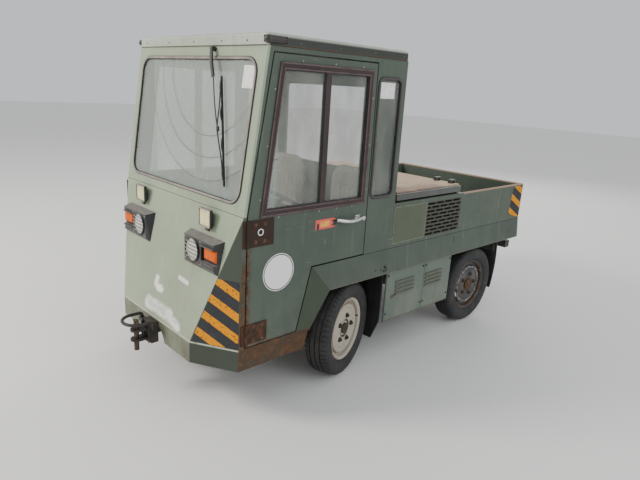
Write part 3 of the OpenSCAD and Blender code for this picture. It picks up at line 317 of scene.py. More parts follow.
class Paint:
    """A material and its node tree, with places in millimetres on the source's stations."""

    def __init__(self, name):
        self.material = bpy.data.materials.new(name)
        self.material.use_nodes = True
        self.tree = self.material.node_tree
        self.tree.nodes.clear()
        self.place = self.node("ShaderNodeTexCoord").outputs["Object"]
        parts = self.node("ShaderNodeSeparateXYZ", {}, {0: self.place}).outputs
        self.across = Value(self, parts[0]) * 1000
        self.station = Value(self, parts[1]) * 1000 + MID_STATION
        self.height = Value(self, parts[2]) * 1000

    def node(self, kind, settings=(), inputs=()):
        """Any node: its settings are set first, then the values or links of its sockets."""
        made = self.tree.nodes.new(kind)
        for name, value in dict(settings).items():
            setattr(made, name, value)
        for name, value in dict(inputs).items():
            value = getattr(value, "socket", value)
            socket = made.inputs[name]
            if isinstance(value, bpy.types.NodeSocket):
                self.tree.links.new(value, socket)
            else:
                socket.default_value = (*value, 1) if socket.type == "RGBA" and len(value) == 3 else value
        return made

    def math(self, operation, *values):
        """One Math node on two numbers, or on one."""
        node = self.node("ShaderNodeMath", {"operation": operation}, enumerate(values))
        return Value(self, node.outputs[0])

    def mix(self, factor, low, high):
        """The colour low where factor is 0 and high where it is 1."""
        node = self.node("ShaderNodeMix", {"data_type": "RGBA"}, {0: factor, 6: low, 7: high})
        return node.outputs[2]

    def uv(self):
        """The two numbers of the piece's own flat map, in millimetres."""
        parts = self.node("ShaderNodeSeparateXYZ", {},
                          {0: self.node("ShaderNodeUVMap", {"uv_map": "flat"}).outputs[0]}).outputs
        return Value(self, parts[0]) * 1000, Value(self, parts[1]) * 1000

    def noise(self, size, detail=3, rough=0.55, stretch=(1, 1, 1), shift=0):
        """Cloudy noise whose blots are about size mm wide, drawn out by stretch."""
        place = self.node("ShaderNodeMapping", {"vector_type": "POINT"},
                          {"Vector": self.place, "Location": (shift, shift * 0.7, shift * 1.3),
                           "Scale": tuple(1 / s for s in stretch)}).outputs[0]
        node = self.node("ShaderNodeTexNoise", {}, {"Vector": place, "Scale": 1000 / size,
                                                    "Detail": detail, "Roughness": rough})
        return Value(self, node.outputs[0])

    def stroke(self, u, v, ends, half, soft):
        """1 within half of the line between two ends on the plane of u and v, 0 beyond half + soft.
        The distance is that to the nearest point of the line, whose share of the way is
        clamped to 0..1."""
        (u0, v0), (u1, v1) = ends
        du, dv = u1 - u0, v1 - v0
        share = self.math("MINIMUM", self.math("MAXIMUM",
                          ((u - u0) * du + (v - v0) * dv) / (du * du + dv * dv), 0), 1)
        ou, ov = u - u0 - share * du, v - v0 - share * dv
        return self.math("SQRT", ou * ou + ov * ov).step(half + soft, half)

    def finish(self, color, roughness=0.5, metallic=0.0, bumps=(), fixed=()):
        """The closing shader. bumps are (height in 0..1, depth in mm) pairs, fixed its plain values."""
        shader = self.node("ShaderNodeBsdfPrincipled", {},
                           {"Base Color": color, "Roughness": roughness, "Metallic": metallic, **dict(fixed)})
        normal = None
        for height, depth in bumps:
            inputs = {"Height": height, "Distance": depth / 1000, "Strength": 1.0}
            if normal is not None:
                inputs["Normal"] = normal
            normal = self.node("ShaderNodeBump", {}, inputs).outputs[0]
        if normal is not None:
            self.tree.links.new(normal, shader.inputs["Normal"])
        out = self.node("ShaderNodeOutputMaterial")
        self.tree.links.new(shader.outputs[0], out.inputs[0])
        return self.material


RUST_DARK = (0.050, 0.024, 0.014)
RUST = (0.165, 0.068, 0.032)
DUST = (0.36, 0.32, 0.26)
PRIMER = (0.30, 0.29, 0.25)


def worn_paint(name, color, shade, rust=0.3, dust=0.3, marks=(), gloss=0.42):
    """Faded paint on sheet metal: a mottle between two tones, runs down the sheet, pale and dark
    scratches, chips down to rust, and dust that thickens towards the ground. Each of marks is
    (mask function, colour, roughness or None)."""
    p = Paint(name)
    color = p.mix(p.noise(420, 4, 0.6).step(0.35, 0.68), color, shade)
    runs = p.noise(38, 3, 0.6, (1, 1, 14)).step(0.52, 0.78)
    color = p.mix(runs * 0.30, color, tuple(c * 0.62 for c in shade))
    pale_runs = p.noise(60, 3, 0.6, (1, 1, 10), 3.1).step(0.58, 0.8)
    color = p.mix(pale_runs * 0.22, color, DUST)
    blots = p.noise(95, 5, 0.65, shift=1.7).step(0.55, 0.80)
    color = p.mix(blots * 0.25, color, tuple(min(1, c * 1.5 + 0.02) for c in shade))
    fine = p.noise(7, 2, 0.6).step(0.45, 0.75)
    color = p.mix(fine * 0.10, color, tuple(c * 0.5 for c in shade))
    lines = [p.noise(5, 2, 0.5, s, k).step(0.70, 0.76) * p.noise(130, 2, shift=k).step(0.52, 0.62)
             for s, k in (((1, 30, 2), 5), ((1, 3, 34), 9), ((14, 20, 1), 2))]
    scratch = (lines[0] | lines[1] | lines[2]) * 0.5
    color = p.mix(scratch, color, PRIMER)
    grime = p.height.step(760, 250) * p.noise(170, 4, 0.6, (1, 1, 1.6)).step(0.30, 0.72)
    color = p.mix(grime * dust, color, DUST)
    chips = p.noise(16, 4, 0.7, shift=4.4).step(0.70 - 0.05 * rust, 0.73 - 0.05 * rust) \
        * p.noise(260, 3, shift=6).step(0.50, 0.62) * min(1, rust * 2)
    color = p.mix(chips, color, RUST_DARK)
    roughness = p.noise(120, 3).step(0.2, 0.8) * 0.22 + gloss
    for mask, tone, rough in marks:
        cover = mask(p)
        color = p.mix(cover, color, tone(p) if callable(tone) else tone)
        if rough is not None:
            roughness = roughness * (1 - cover) + cover * rough
    return p.finish(color, roughness, bumps=[
        (p.noise(6, 2), 0.10), (p.noise(240, 2), 1.6), (1 - chips, 0.35), (1 - scratch, 0.12)],
        fixed={"Specular IOR Level": 0.22})


def rusty(p):
    """Rust that goes from dark to mid brown in small blots."""
    return p.mix(p.noise(22, 5, 0.7).step(0.35, 0.68), RUST_DARK, RUST)


def brown_rust(p):
    """Older, flatter rust, brown rather than red, with paler scale."""
    tone = p.mix(p.noise(60, 4, 0.6).step(0.35, 0.68), (0.062, 0.038, 0.025), (0.125, 0.068, 0.036))
    return p.mix(p.noise(13, 4, 0.7).step(0.56, 0.70) * 0.5, tone, (0.19, 0.14, 0.095))


def broken(p, size=40, low=0.42, high=0.56, shift=0.0):
    """A ragged cover mask."""
    return p.noise(size, 5, 0.68, shift=shift).step(low, high)


def plain(name, color, shade, size, rough, metallic=0.0, depth=0.15, grain=8, fixed=()):
    """A simple finish: two tones in blots of a size, with a fine grain."""
    p = Paint(name)
    tone = p.mix(p.noise(size, 4, 0.6).step(0.3, 0.7), color, shade)
    tone = p.mix(p.noise(grain, 2).step(0.55, 0.8) * 0.4, tone, tuple(c * 0.6 for c in shade))
    roughness = p.noise(size * 0.5, 3).step(0.2, 0.8) * 0.2 + rough
    return p.finish(tone, roughness, metallic, [(p.noise(grain, 3), depth)], fixed)


def glass(name, color, alpha, haze):
    """Window glass: mostly clear, with dust in runs. The windscreen has a thicker film, wiped in
    arcs about the wiper's pivot and lying along its lower edge."""
    p = Paint(name)
    dirt = p.noise(220, 4, 0.6, (1, 1, 2.5)).step(0.35, 0.75)
    u, v = p.across - PIVOT_X, (p.height - BELT_Z) / math.cos(LEAN) - PIVOT_UP
    reach = p.math("SQRT", u * u + v * v) + p.noise(90, 2) * 14
    screen = p.station.step(215, 180)
    arcs = sum((reach.between(r - 2, r + 2, 2.5) for r in (655, 540, 430)), 0)
    film = reach.step(668, 640) * 0.10 + p.noise(26, 4, 0.7, (1, 1, 3)).step(0.5, 0.75) * 0.12 + 0.16
    lower = p.height.step(BELT_Z + 260, BELT_Z + 60) * 0.18
    dirt = dirt | screen * (film * 4 + lower)
    tone = p.mix(dirt * 0.6, color, DUST)
    tone = p.mix(screen * 0.5, tone, (0.43, 0.53, 0.49))
    tone = p.mix(screen * arcs * 0.9, tone, (0.06, 0.07, 0.065))
    haze = haze + screen * 0.16 + screen * arcs * 0.5
    p.material.surface_render_method = "DITHERED"
    shader = p.finish(tone, dirt * 0.18 + 0.03, fixed={"IOR": 1.5, "Specular IOR Level": 0.7})
    node = next(n for n in p.tree.nodes if n.type == "BSDF_PRINCIPLED")
    p.tree.links.new((dirt * haze + alpha).socket, node.inputs["Alpha"])
    return shader


# Marks on the paint

def white_smear(p):
    """The smear of white paint along the nose's lower edge."""
    u, v = p.across + p.noise(26, 4, 0.6) * 26 - 13, p.height
    smear = p.stroke(u, v, ((-95, 452), (150, 452)), 22, 26)
    smear = smear | p.stroke(u, v, ((110, 452), (250, 424)), 15, 20)
    worn = p.noise(48, 4, 0.7, (1.4, 1, 1)).step(0.36, 0.62) * 0.55 + 0.45
    thin = p.noise(11, 3, 0.7).step(0.30, 0.52) * 0.55 + 0.45
    front = p.station.step(30, 0) * p.height.step(396, 402)
    return smear * worn * thin * front * 0.85


def bare_spots(p):
    """Pale chipped spots and a short white scuff on the nose."""
    u, v = p.across, p.height
    ragged = p.noise(12, 4, 0.7).step(0.36, 0.46)
    spots = p.stroke(u, v, ((-42, 600), (-46, 572)), 12, 16) | p.stroke(u, v, ((-20, 556), (20, 560)), 12, 16)
    scuff = p.stroke(u, v, ((176, 668), (262, 662)), 7, 9)
    return (spots * ragged | scuff * 0.75) * p.station.step(0, -20)


def seam(p):
    """The dark joint between the nose and the windscreen panel."""
    return p.height.between(BELT_Z - 1.6, BELT_Z + 1.2, 1.0)


def belt_edge(p):
    """The pale folded edge just above that joint."""
    return p.height.between(BELT_Z + 2, BELT_Z + 6, 1.5) * p.station.step(40, 20) * 0.8


def lower_fold(p):
    """The pale line along the fold at the nose panel's lower edge."""
    return p.height.between(NOSE_Z - 3, NOSE_Z + 5, 2.5) * p.noise(50, 3).step(0.25, 0.5)


def skirt_dirt(p):
    """Road dirt over the skirt below the nose."""
    return p.height.step(392, 386) * (p.noise(120, 4).step(0.3, 0.7) * 0.35 + 0.60)


def facet_painted_shade(p):
    """The side facets, painted darker than the nose's front: painted shade, since they face away from the light that
    falls on the front.
    """
    edge = NOSE_HALF + FACET_SLOPE * ((p.height - NOSE_Z) | 0)
    wide = p.math("ABSOLUTE", p.across)
    return (wide - edge).step(-3, 3) * p.station.step(12, 2) * 0.94


def sill_rust(p):
    """Rust along the sill, the door post's front edge and the arch leg's foot."""
    ragged = broken(p, 60, 0.36, 0.52)
    sill = p.height.step(404, 392) * p.station.between(-25, 460, 12)
    post = p.station.between(-26, 26, 6) * p.height.step(930, 800)
    return (sill * (ragged * 0.3 + 0.7) | post * (ragged * 0.6 + 0.3)) * p.station.step(470, 450)


def door_rust(p):
    """Rust down the door's front edge, along its foot and round the lower hinge."""
    ragged = broken(p, 46, 0.38, 0.55)
    front = p.station.step(60, 26) * p.height.step(925, 905)
    foot = p.height.step(416, 402) * 0.9
    hinge = p.stroke(p.station, p.height, ((40, 470), (110, 468)), 40, 26)
    return (front * 0.95 | foot | hinge * 0.7) * (ragged * 0.8 + front * 0.2)


def hinge_plates(p):
    """The dark brown plates of the door's hinges, which stand proud of the side."""
    wide = p.math("ABSOLUTE", p.across)
    return wide.step(HALF_W + 0.5, HALF_W + 1) * p.station.step(200, 195) * p.height.step(1061, 1059)


def hinge_tone(p):
    """Dark brown, with more rust on the lower plate than on the upper one."""
    blots = p.noise(34, 5, 0.7).step(0.40, 0.66) * p.height.step(1100, 420)
    return p.mix(blots, (0.043, 0.028, 0.021), (0.115, 0.050, 0.026))


def leg_side(p):
    """Distance in front of the mitre between the fender's leg and its band, from (451, 748) to
    (580, 591)."""
    return ((451 - p.station) * 157 + (748 - p.height) * 129) / 203


def leg_tint(p):
    """The fender's leg below the mitre, which is a darker olive."""
    return leg_side(p).step(0, 2) * p.height.step(745, 740) * 0.75


def mitre(p):
    """The dark joint of the mitre."""
    return leg_side(p).between(-1.1, 1.1, 0.8) * 0.8


def lip_wear(p):
    """The rubbed lip along the band's lower edge."""
    return p.height.step(BAND_Z + 5, BAND_Z + 2) * p.station.step(560, 590) * broken(p, 60, 0.40, 0.50) * 0.5


def painted_hole_shade(p):
    """Two drilled holes and a dent with bare edges on the band, drawn as dark spots: painted shade, since none of them
    is cut into the band.
    """
    u, v = p.station, p.height
    holes = p.stroke(u, v, ((968, 631), (969, 631)), 4, 2) | p.stroke(u, v, ((1014, 626), (1016, 626)), 4, 2)
    return holes | p.stroke(u, v, ((1797, 722), (1794, 690)), 3, 6) * 0.5


def roof_edge(p):
    """The dark joint under the roof."""
    return p.height.between(ROOF_LOW - 1.5, ROOF_LOW + 1.5, 1) * 0.9


def shaded_roof_sides(p):
    """The roof's sides: a mask, painted darker than the roof's front as painted shade, since they face away from the
    light.
    """
    return p.math("ABSOLUTE", p.across).step(HALF_W + 1, HALF_W + 3) * p.height.step(1894, 1880)


def lamp_pocket_shade(p):
    """The pockets in the roof's front corners, under the marker lamps, painted near black: painted shade in the
    pockets.
    """
    wide = p.math("ABSOLUTE", p.across)
    return wide.step(593, 595) * p.station.between(103, 217, 1) * p.height.between(1857, 1887, 1)


def roof_side_rust(p):
    """Rust along the lower edge of the roof's sides."""
    return shaded_roof_sides(p) * p.height.step(ROOF_LOW + 10, ROOF_LOW + 2) * broken(p, 60, 0.34, 0.5)


def plain_plate(p):
    """The olive plate between the cab and the grille, with a rubbed edge."""
    return p.station.between(1110, 1438, 1.5) * p.height.between(772, 1004, 1.5) * 0.8


def plate_edge(p):
    """The pale rubbed edge of that plate."""
    edge = (1 - p.station.between(1114, 1434, 1.5) * p.height.between(776, 1000, 1.5)) * plain_plate(p)
    return edge * broken(p, 50, 0.35, 0.5)


def grille_dust_and_shade(p):
    """Brown dust over the grille's bars, and painted shade thick near the slots, which lie 25.5 mm apart."""
    pitch = 25.5
    phase = p.math("MODULO", p.height - 778 + 10 * pitch, pitch)
    # Darker near the slots' edges: painted shade of the slots, mixed with dust.
    thick = 1 - phase.between(16.6, 22.4, 1.6)
    return p.station.between(1444, 1838, 6) * p.height.between(770, 1003, 3) * (thick * 0.45 + 0.5)


def louvre_dirt(p):
    """Brown dust and rust in and under the pressed louvres."""
    first = p.station.between(1190, 1398, 10) * p.height.between(404, 512, 8)
    second = p.station.between(1512, 1718, 10) * p.height.between(398, 506, 8)
    bands = p.math("SINE", (p.height - 410) * (2 * math.pi / 27)) * 0.5 + 0.5
    return (first | second) * (bands * 0.55 + 0.15) * broken(p, 50, 0.30, 0.55)


def louvre_edge(p):
    """Rubbed edges and stains of the louvre panels, which lean on their bolts."""
    knobs = p.stroke(p.station, p.height, ((1166, 410), (1192, 412)), 6, 12) * broken(p, 16, 0.35, 0.5)
    low = p.height.step(262, 250) * broken(p, 60, 0.35, 0.5)
    return (knobs | low * 0.6) * 0.8


def rail_wear(p):
    """Bare rubbed steel with pinkish rust on the tops of the load bed's rails."""
    return p.height.step(1017, 1022) * p.station.step(1855, 1862) * (broken(p, 90, 0.22, 0.42) * 0.6 + 0.35)


def band_joint(p):
    """The dark joint where the fender band meets the body."""
    return p.height.between(CREASE_Z - 1.8, CREASE_Z + 1.8, 1.2)


# Camera, floor and light

def set_camera():
    """The photograph's camera: place, direction by azimuth and elevation, and roll, in which
    right = (cos a, sin a, 0), up = right x view, and both turn about the view by the roll. Its
    focal length is 542.1 pixels of a picture 640 wide, on a sensor of 36 mm."""
    a, e, roll = np.radians((46.1, 15.8, 3.4))
    place = rows([(2627.6, -1436.4, 1682.3)])[0]
    view = np.array((-math.sin(a) * math.cos(e), math.cos(a) * math.cos(e), -math.sin(e)))
    right = np.array((math.cos(a), math.sin(a), 0))
    up = np.cross(right, view)
    right, up = right * math.cos(roll) + up * math.sin(roll), up * math.cos(roll) - right * math.sin(roll)
    data = bpy.data.cameras.new("photo_camera")
    data.sensor_width = 36
    data.lens = 542.1 / 640 * 36
    camera = bpy.data.objects.new("photo_camera", data)
    turned = np.column_stack([right, up, -view])
    camera.matrix_world = Matrix.Translation(place) @ Matrix(turned.tolist()).to_4x4()
    bpy.context.scene.collection.objects.link(camera)
    bpy.context.scene.camera = camera


def set_light(name, place, aim, size, power, color):
    """A soft square light that looks from its place to an aim."""
    data = bpy.data.lights.new(name, "AREA")
    data.size = size
    data.energy = power
    data.color = color
    lamp = bpy.data.objects.new(name, data)
    lamp.matrix_world = Matrix.Translation(place) @ \
        (Vector(aim) - Vector(place)).to_track_quat("-Z", "Y").to_matrix().to_4x4()
    bpy.context.scene.collection.objects.link(lamp)


def set_stage():
    """A pale floor 60 m across, an even pale sky, and three soft lights."""
    floor = bpy.data.meshes.new("floor")
    floor.from_pydata([(-30, -30, 0), (30, -30, 0), (30, 30, 0), (-30, 30, 0)], [], [(0, 1, 2, 3)])
    stage = bpy.data.objects.new("floor", floor)
    bpy.context.scene.collection.objects.link(stage)
    p = Paint("pale_floor")
    tone = p.mix(p.noise(900, 3) * 0.4, (0.84, 0.83, 0.81), (0.78, 0.77, 0.75))
    floor.materials.append(p.finish(tone, 0.8))
    world = bpy.data.worlds.new("even_sky")
    world.use_nodes = True
    world.node_tree.nodes["Background"].inputs[0].default_value = (0.85, 0.87, 0.90, 1)
    world.node_tree.nodes["Background"].inputs[1].default_value = 0.85
    bpy.context.scene.world = world
    set_light("key", (-3.6, -6.5, 5.2), (0, -0.6, 0.9), 2.2, 520, (1.0, 0.96, 0.90))
    set_light("side_fill", (7.0, 1.0, 4.0), (0, 0, 0.8), 5.0, 150, (0.92, 0.96, 1.0))
    set_light("rear_fill", (-3.0, 7.0, 4.5), (0, 1.0, 0.8), 4.0, 160, (1.0, 0.98, 0.95))


set_camera()
set_stage()

# Finishes of the CAD nodes


def wheel_reach(p, front):
    """Distance from the middle of the nearest wheel, in the wheel's own plane. On a front wheel the
    rearward part is that of the place about the kingpin, turned back by the parked angle."""
    v = p.station - (FRONT_AXLE if front else REAR_AXLE)
    if front:
        s, c = math.sin(math.radians(PARK_STEER)), math.cos(math.radians(PARK_STEER))
        v = v * c - (p.across - p.math("SIGN", p.across) * KINGPIN) * s
    w = p.height - TYRE_R
    return p.math("SQRT", v * v + w * w)


def front_well_dust_and_shade(p):
    """Brown in the rim's well, round the disc: partly dust and rust, partly painted shade in the well."""
    return wheel_reach(p, True).between(148, 168, 5) * (p.noise(50, 4).step(0.3, 0.7) * 0.5 + 0.25)


def front_bead(p):
    """A rusty line where the tyre rubs the rim, and one round the hub."""
    reach = wheel_reach(p, True)
    ragged = p.noise(24, 4, 0.7).step(0.40, 0.55)
    return reach.step(186, 191) * (ragged * 0.6 + 0.2) | reach.between(56, 60, 3) * 0.6


def rear_scuffs_and_highlight(p):
    """Bare steel scuffs round the openings of the rear rims, and a painted highlight along the disc's ridge, 132 to 144
    mm out.
    """
    reach = wheel_reach(p, False)
    ragged = p.noise(20, 4, 0.75).step(0.50, 0.56)
    return (reach.between(132, 144, 3) | reach.between(150, 158, 2)) * ragged * 0.9


def rear_well(p):
    """Rust in the rear rim's well and about its hub."""
    reach = wheel_reach(p, False)
    return (reach.between(164, 184, 6) | reach.step(70, 40)) * broken(p, 40, 0.38, 0.58)


# The sides' dark greens and the front's pale green are partly faded paint and partly painted light: the sides are
# painted darker for the shade they lie in, the front paler for the light that falls on it.
GREEN = (0.092, 0.117, 0.091)
GREEN_SHADE = (0.077, 0.099, 0.079)
OLIVE = (0.101, 0.115, 0.072)
PALE = (0.340, 0.405, 0.290)
PALE_SHADE = (0.300, 0.345, 0.235)
BLACK = (0.018, 0.018, 0.020)
JOINT_DARK = (0.03, 0.03, 0.03)

# The facets' dark tone in front_paint is painted shade on the nose's side facets.
front_paint = worn_paint("front_paint", PALE, PALE_SHADE, rust=0.25, dust=0.15, marks=[
    (skirt_dirt, (0.120, 0.116, 0.080), 0.6), (facet_painted_shade, (0.050, 0.060, 0.047), None),
    (belt_edge, (0.42, 0.44, 0.36), None), (seam, JOINT_DARK, 0.7), (lower_fold, (0.52, 0.54, 0.42), 0.5),
    (white_smear, (1.0, 1.0, 0.98), 0.6), (bare_spots, (0.94, 0.90, 0.82), 0.7)])
side_paint = worn_paint("side_paint", GREEN, GREEN_SHADE, rust=0.35, dust=0.25, marks=[
    (sill_rust, brown_rust, 0.85), (band_joint, JOINT_DARK, 0.8), (hinge_plates, hinge_tone, 0.8)])
# The fender's greens are likewise darkened as painted shade on the vehicle's side.
fender_paint = worn_paint("fender_paint", (0.086, 0.107, 0.088), (0.071, 0.088, 0.071), 0.35, 0.22, [
    (leg_tint, (0.047, 0.063, 0.037), None), (lip_wear, (0.22, 0.20, 0.15), 0.7),
    (mitre, (0.03, 0.03, 0.028), 0.8),
    (painted_hole_shade, (0.012, 0.012, 0.012), 0.9), (sill_rust, brown_rust, 0.85), (band_joint, JOINT_DARK, 0.8)])
door_paint = worn_paint("door_paint", GREEN, GREEN_SHADE, rust=0.30, dust=0.2, marks=[
    (door_rust, rusty, 0.85), (hinge_plates, hinge_tone, 0.8)])
bed_paint = worn_paint("bed_paint", GREEN, (0.088, 0.108, 0.083), rust=0.3, dust=0.15, marks=[
    (plain_plate, OLIVE, None), (plate_edge, (0.24, 0.26, 0.20), None),
    (grille_dust_and_shade, (0.068, 0.062, 0.052), 0.7),
    (rail_wear, (0.42, 0.27, 0.20), 0.7), (band_joint, JOINT_DARK, 0.8)])
# The roof's pale base stands partly for light on its front; its dark sides are painted shade.
roof_paint = worn_paint("roof_paint", (0.46, 0.49, 0.41), (0.38, 0.41, 0.33), rust=0.4, dust=0.1, marks=[
    (shaded_roof_sides, (0.048, 0.053, 0.046), None), (roof_side_rust, (0.11, 0.065, 0.040), 0.8),
    (roof_edge, JOINT_DARK, 0.8), (lamp_pocket_shade, (0.012, 0.012, 0.012), 0.9)])
inner_paint = worn_paint("inner_paint", (0.115, 0.130, 0.105), (0.085, 0.095, 0.080), rust=0.7, dust=0.5)
louvre_paint = worn_paint("louvre_paint", (0.128, 0.168, 0.138), (0.108, 0.142, 0.112), 0.5, 0.28, [
    (louvre_dirt, (0.150, 0.125, 0.095), 0.8), (louvre_edge, brown_rust, 0.85)])
cover_paint = worn_paint("cover_paint", (0.112, 0.118, 0.106), (0.092, 0.096, 0.086), rust=0.3, dust=0.1)
chassis_paint = worn_paint("chassis_paint", (0.035, 0.037, 0.036), (0.028, 0.028, 0.028), rust=0.9, dust=0.55)
rim_cream = worn_paint("rim_cream", (0.54, 0.50, 0.41), (0.44, 0.40, 0.32), rust=0.8, dust=0.3, marks=[
    (front_well_dust_and_shade, (0.30, 0.22, 0.15), 0.8), (front_bead, (0.17, 0.115, 0.075), 0.8)])
rim_dark = worn_paint("rim_dark", (0.060, 0.060, 0.062), (0.045, 0.040, 0.036), rust=1.2, dust=0.25, marks=[
    (rear_scuffs_and_highlight, (0.34, 0.35, 0.36), 0.4), (rear_well, (0.085, 0.055, 0.038), 0.85)])
iron = plain("cast_iron", (0.045, 0.044, 0.042), (0.085, 0.058, 0.042), 60, 0.62, 0.3, 0.4)
tow_iron = plain("tow_iron", (0.030, 0.031, 0.032), (0.060, 0.048, 0.040), 50, 0.45, 0.4, 0.3)
pin_steel = plain("pin_steel", (0.110, 0.085, 0.065), (0.075, 0.046, 0.030), 24, 0.40, 0.7, 0.2)
engine_iron = plain("engine_iron", (0.13, 0.14, 0.135), (0.06, 0.06, 0.058), 90, 0.5, 0.2, 0.8)


def lamp_black_paint():
    """Black sheet steel, paler on whatever looks up, which is dust and painted light from above, with worn pale guard
    bars.
    """
    p = Paint("lamp_black")
    tone = p.mix(p.noise(70, 4, 0.6).step(0.3, 0.7), (0.018, 0.018, 0.020), (0.036, 0.036, 0.036))
    up = p.node("ShaderNodeSeparateXYZ", {}, {0: p.node("ShaderNodeTexCoord").outputs["Normal"]}).outputs
    # Faces that look up are painted paler: dust, and painted light falling from above.
    top = Value(p, up[2]).step(0.5, 0.85) * (p.noise(30, 4, 0.7).step(0.25, 0.6) * 0.5 + 0.5)
    tone = p.mix(top * 0.9, tone, (0.215, 0.200, 0.180))
    bars = p.station.step(HEAD_FRONT - 7.6, HEAD_FRONT - 8.6) * (broken(p, 20, 0.30, 0.5) * 0.5 + 0.4)
    tone = p.mix(bars, tone, (0.30, 0.28, 0.25))
    lip = p.height.step(LAMP_LOW + 7, LAMP_LOW + 3) * p.station.step(HEAD_FRONT + 3, HEAD_FRONT + 1)
    tone = p.mix(lip * broken(p, 24, 0.3, 0.5) * 0.8, tone, (0.24, 0.22, 0.20))
    return p.finish(tone, top * 0.3 + 0.42, bumps=[(p.noise(3, 3), 0.08), (p.noise(40, 2), 0.5)])


lamp_black = lamp_black_paint()
black_plastic = plain("black_plastic", (0.022, 0.022, 0.024), (0.040, 0.040, 0.040), 70, 0.42, 0.0, 0.08, 3)
rubber = plain("rubber", BLACK, (0.028, 0.028, 0.028), 60, 0.42, 0.0, 0.08, 4)
chrome = plain("chrome", (0.72, 0.72, 0.71), (0.55, 0.55, 0.54), 30, 0.10, 1.0, 0.02, 5)
amber = plain("amber_lens", (0.84, 0.14, 0.0), (0.72, 0.10, 0.0), 30, 0.26, 0.0, 0.1, 4,
              {"Coat Weight": 0.1, "Specular IOR Level": 0.15})
red_lens = plain("red_lens", (0.42, 0.02, 0.015), (0.30, 0.015, 0.012), 30, 0.15, 0.0, 0.1, 4)
window_glass = glass("window_glass", (0.60, 0.64, 0.58), 0.10, 0.20)


def plywood():
    """Weathered plywood: long grain across the vehicle, blotches and a pinkish strip, which is the cab's painted shadow
    along the front edge and partly wear, partly painted shade along the outer side.
    """
    p = Paint("plywood")
    grain = p.noise(4, 4, 0.6, (40, 1, 1)).step(0.35, 0.7)
    tone = p.mix(grain, (0.70, 0.50, 0.31), (0.56, 0.39, 0.23))
    tone = p.mix(p.noise(160, 4).step(0.4, 0.7) * 0.5, tone, (0.78, 0.62, 0.45))
    # Painted shadow: the cab's shadow along the board's front edge, and shade with wear along its outer side.
    side = p.across.step(430, 560) * p.station.step(1760, 1560)
    strip = (p.station.step(1330, 1290) | side) * broken(p, 120, 0.26, 0.5)
    tone = p.mix(strip * 0.8, tone, (0.32, 0.20, 0.16))
    tone = p.mix(broken(p, 26, 0.60, 0.68) * 0.5, tone, (0.16, 0.12, 0.09))
    return p.finish(tone, 0.75, bumps=[(grain, 0.5), (p.noise(40, 3), 0.8)])


def lamp_lens(bright, shade, pitch):
    """Pressed lamp glass: upright flutes about 9 mm apart, crossed by bars, over a reflector. The flutes and bars are
    painted as brighter and darker stripes: painted highlights and painted shade for the light from the reflector.
    """
    p = Paint("lamp_lens")
    flutes = p.math("SINE", p.across * (2 * math.pi / 9)) * 0.5 + 0.5
    rows_of = p.math("SINE", p.height * (2 * math.pi / pitch)) * 0.5 + 0.5
    # Painted highlights and shade: bright and dark stripes along the flutes, brighter rows at the bars.
    tone = p.mix(flutes * 0.45, bright, shade)
    tone = p.mix(rows_of.step(0.8, 1.0) * 0.5, tone, tuple(min(1, c * 1.15) for c in bright))
    tone = p.mix(p.noise(26, 3).step(0.5, 0.75) * 0.3, tone, shade)
    return p.finish(tone, 0.12, 0.25, [(flutes, 0.8), (rows_of, 0.3)], {"Coat Weight": 1.0})


def tyre_rubber():
    """Dusty tyre rubber: grey-brown dust in the tread and cracks round the side wall."""
    p = Paint("tyre_rubber")
    tone = p.mix(p.noise(90, 4, 0.6).step(0.35, 0.7), (0.018, 0.018, 0.019), (0.036, 0.033, 0.030))
    tone = p.mix(p.noise(14, 4, 0.7).step(0.52, 0.75) * 0.4, tone, (0.10, 0.088, 0.074))
    return p.finish(tone, p.noise(30, 3) * 0.2 + 0.62, bumps=[(p.noise(3, 3), 0.25), (p.noise(18, 2), 0.5)])


def seat_cloth():
    """Pale woven cloth: two crossed waves 3 mm apart, with stains."""
    p = Paint("seat_cloth")
    turns = 2 * math.pi / 3
    warp = p.math("SINE", p.across * turns) * p.math("SINE", (p.station + p.height) * turns)
    tone = p.mix(p.noise(130, 4).step(0.35, 0.7), (0.46, 0.45, 0.39), (0.36, 0.34, 0.28))
    tone = p.mix((warp * 0.5 + 0.5) * 0.25, tone, (0.22, 0.21, 0.18))
    return p.finish(tone, 0.9, bumps=[(warp * 0.5 + 0.5, 0.3), (p.noise(60, 3), 1.2)],
                    fixed={"Sheen Weight": 0.3})


wood = plywood()
cloth_edge = plain("seat_piping", (0.30, 0.29, 0.25), (0.22, 0.21, 0.18), 20, 0.6, 0.0, 0.1, 4)
lens = lamp_lens((0.80, 0.80, 0.72), (0.34, 0.35, 0.32), 24)
work_lens = lamp_lens((0.92, 0.83, 0.40), (0.66, 0.58, 0.24), 11)
tyre_black = tyre_rubber()
cloth = seat_cloth()

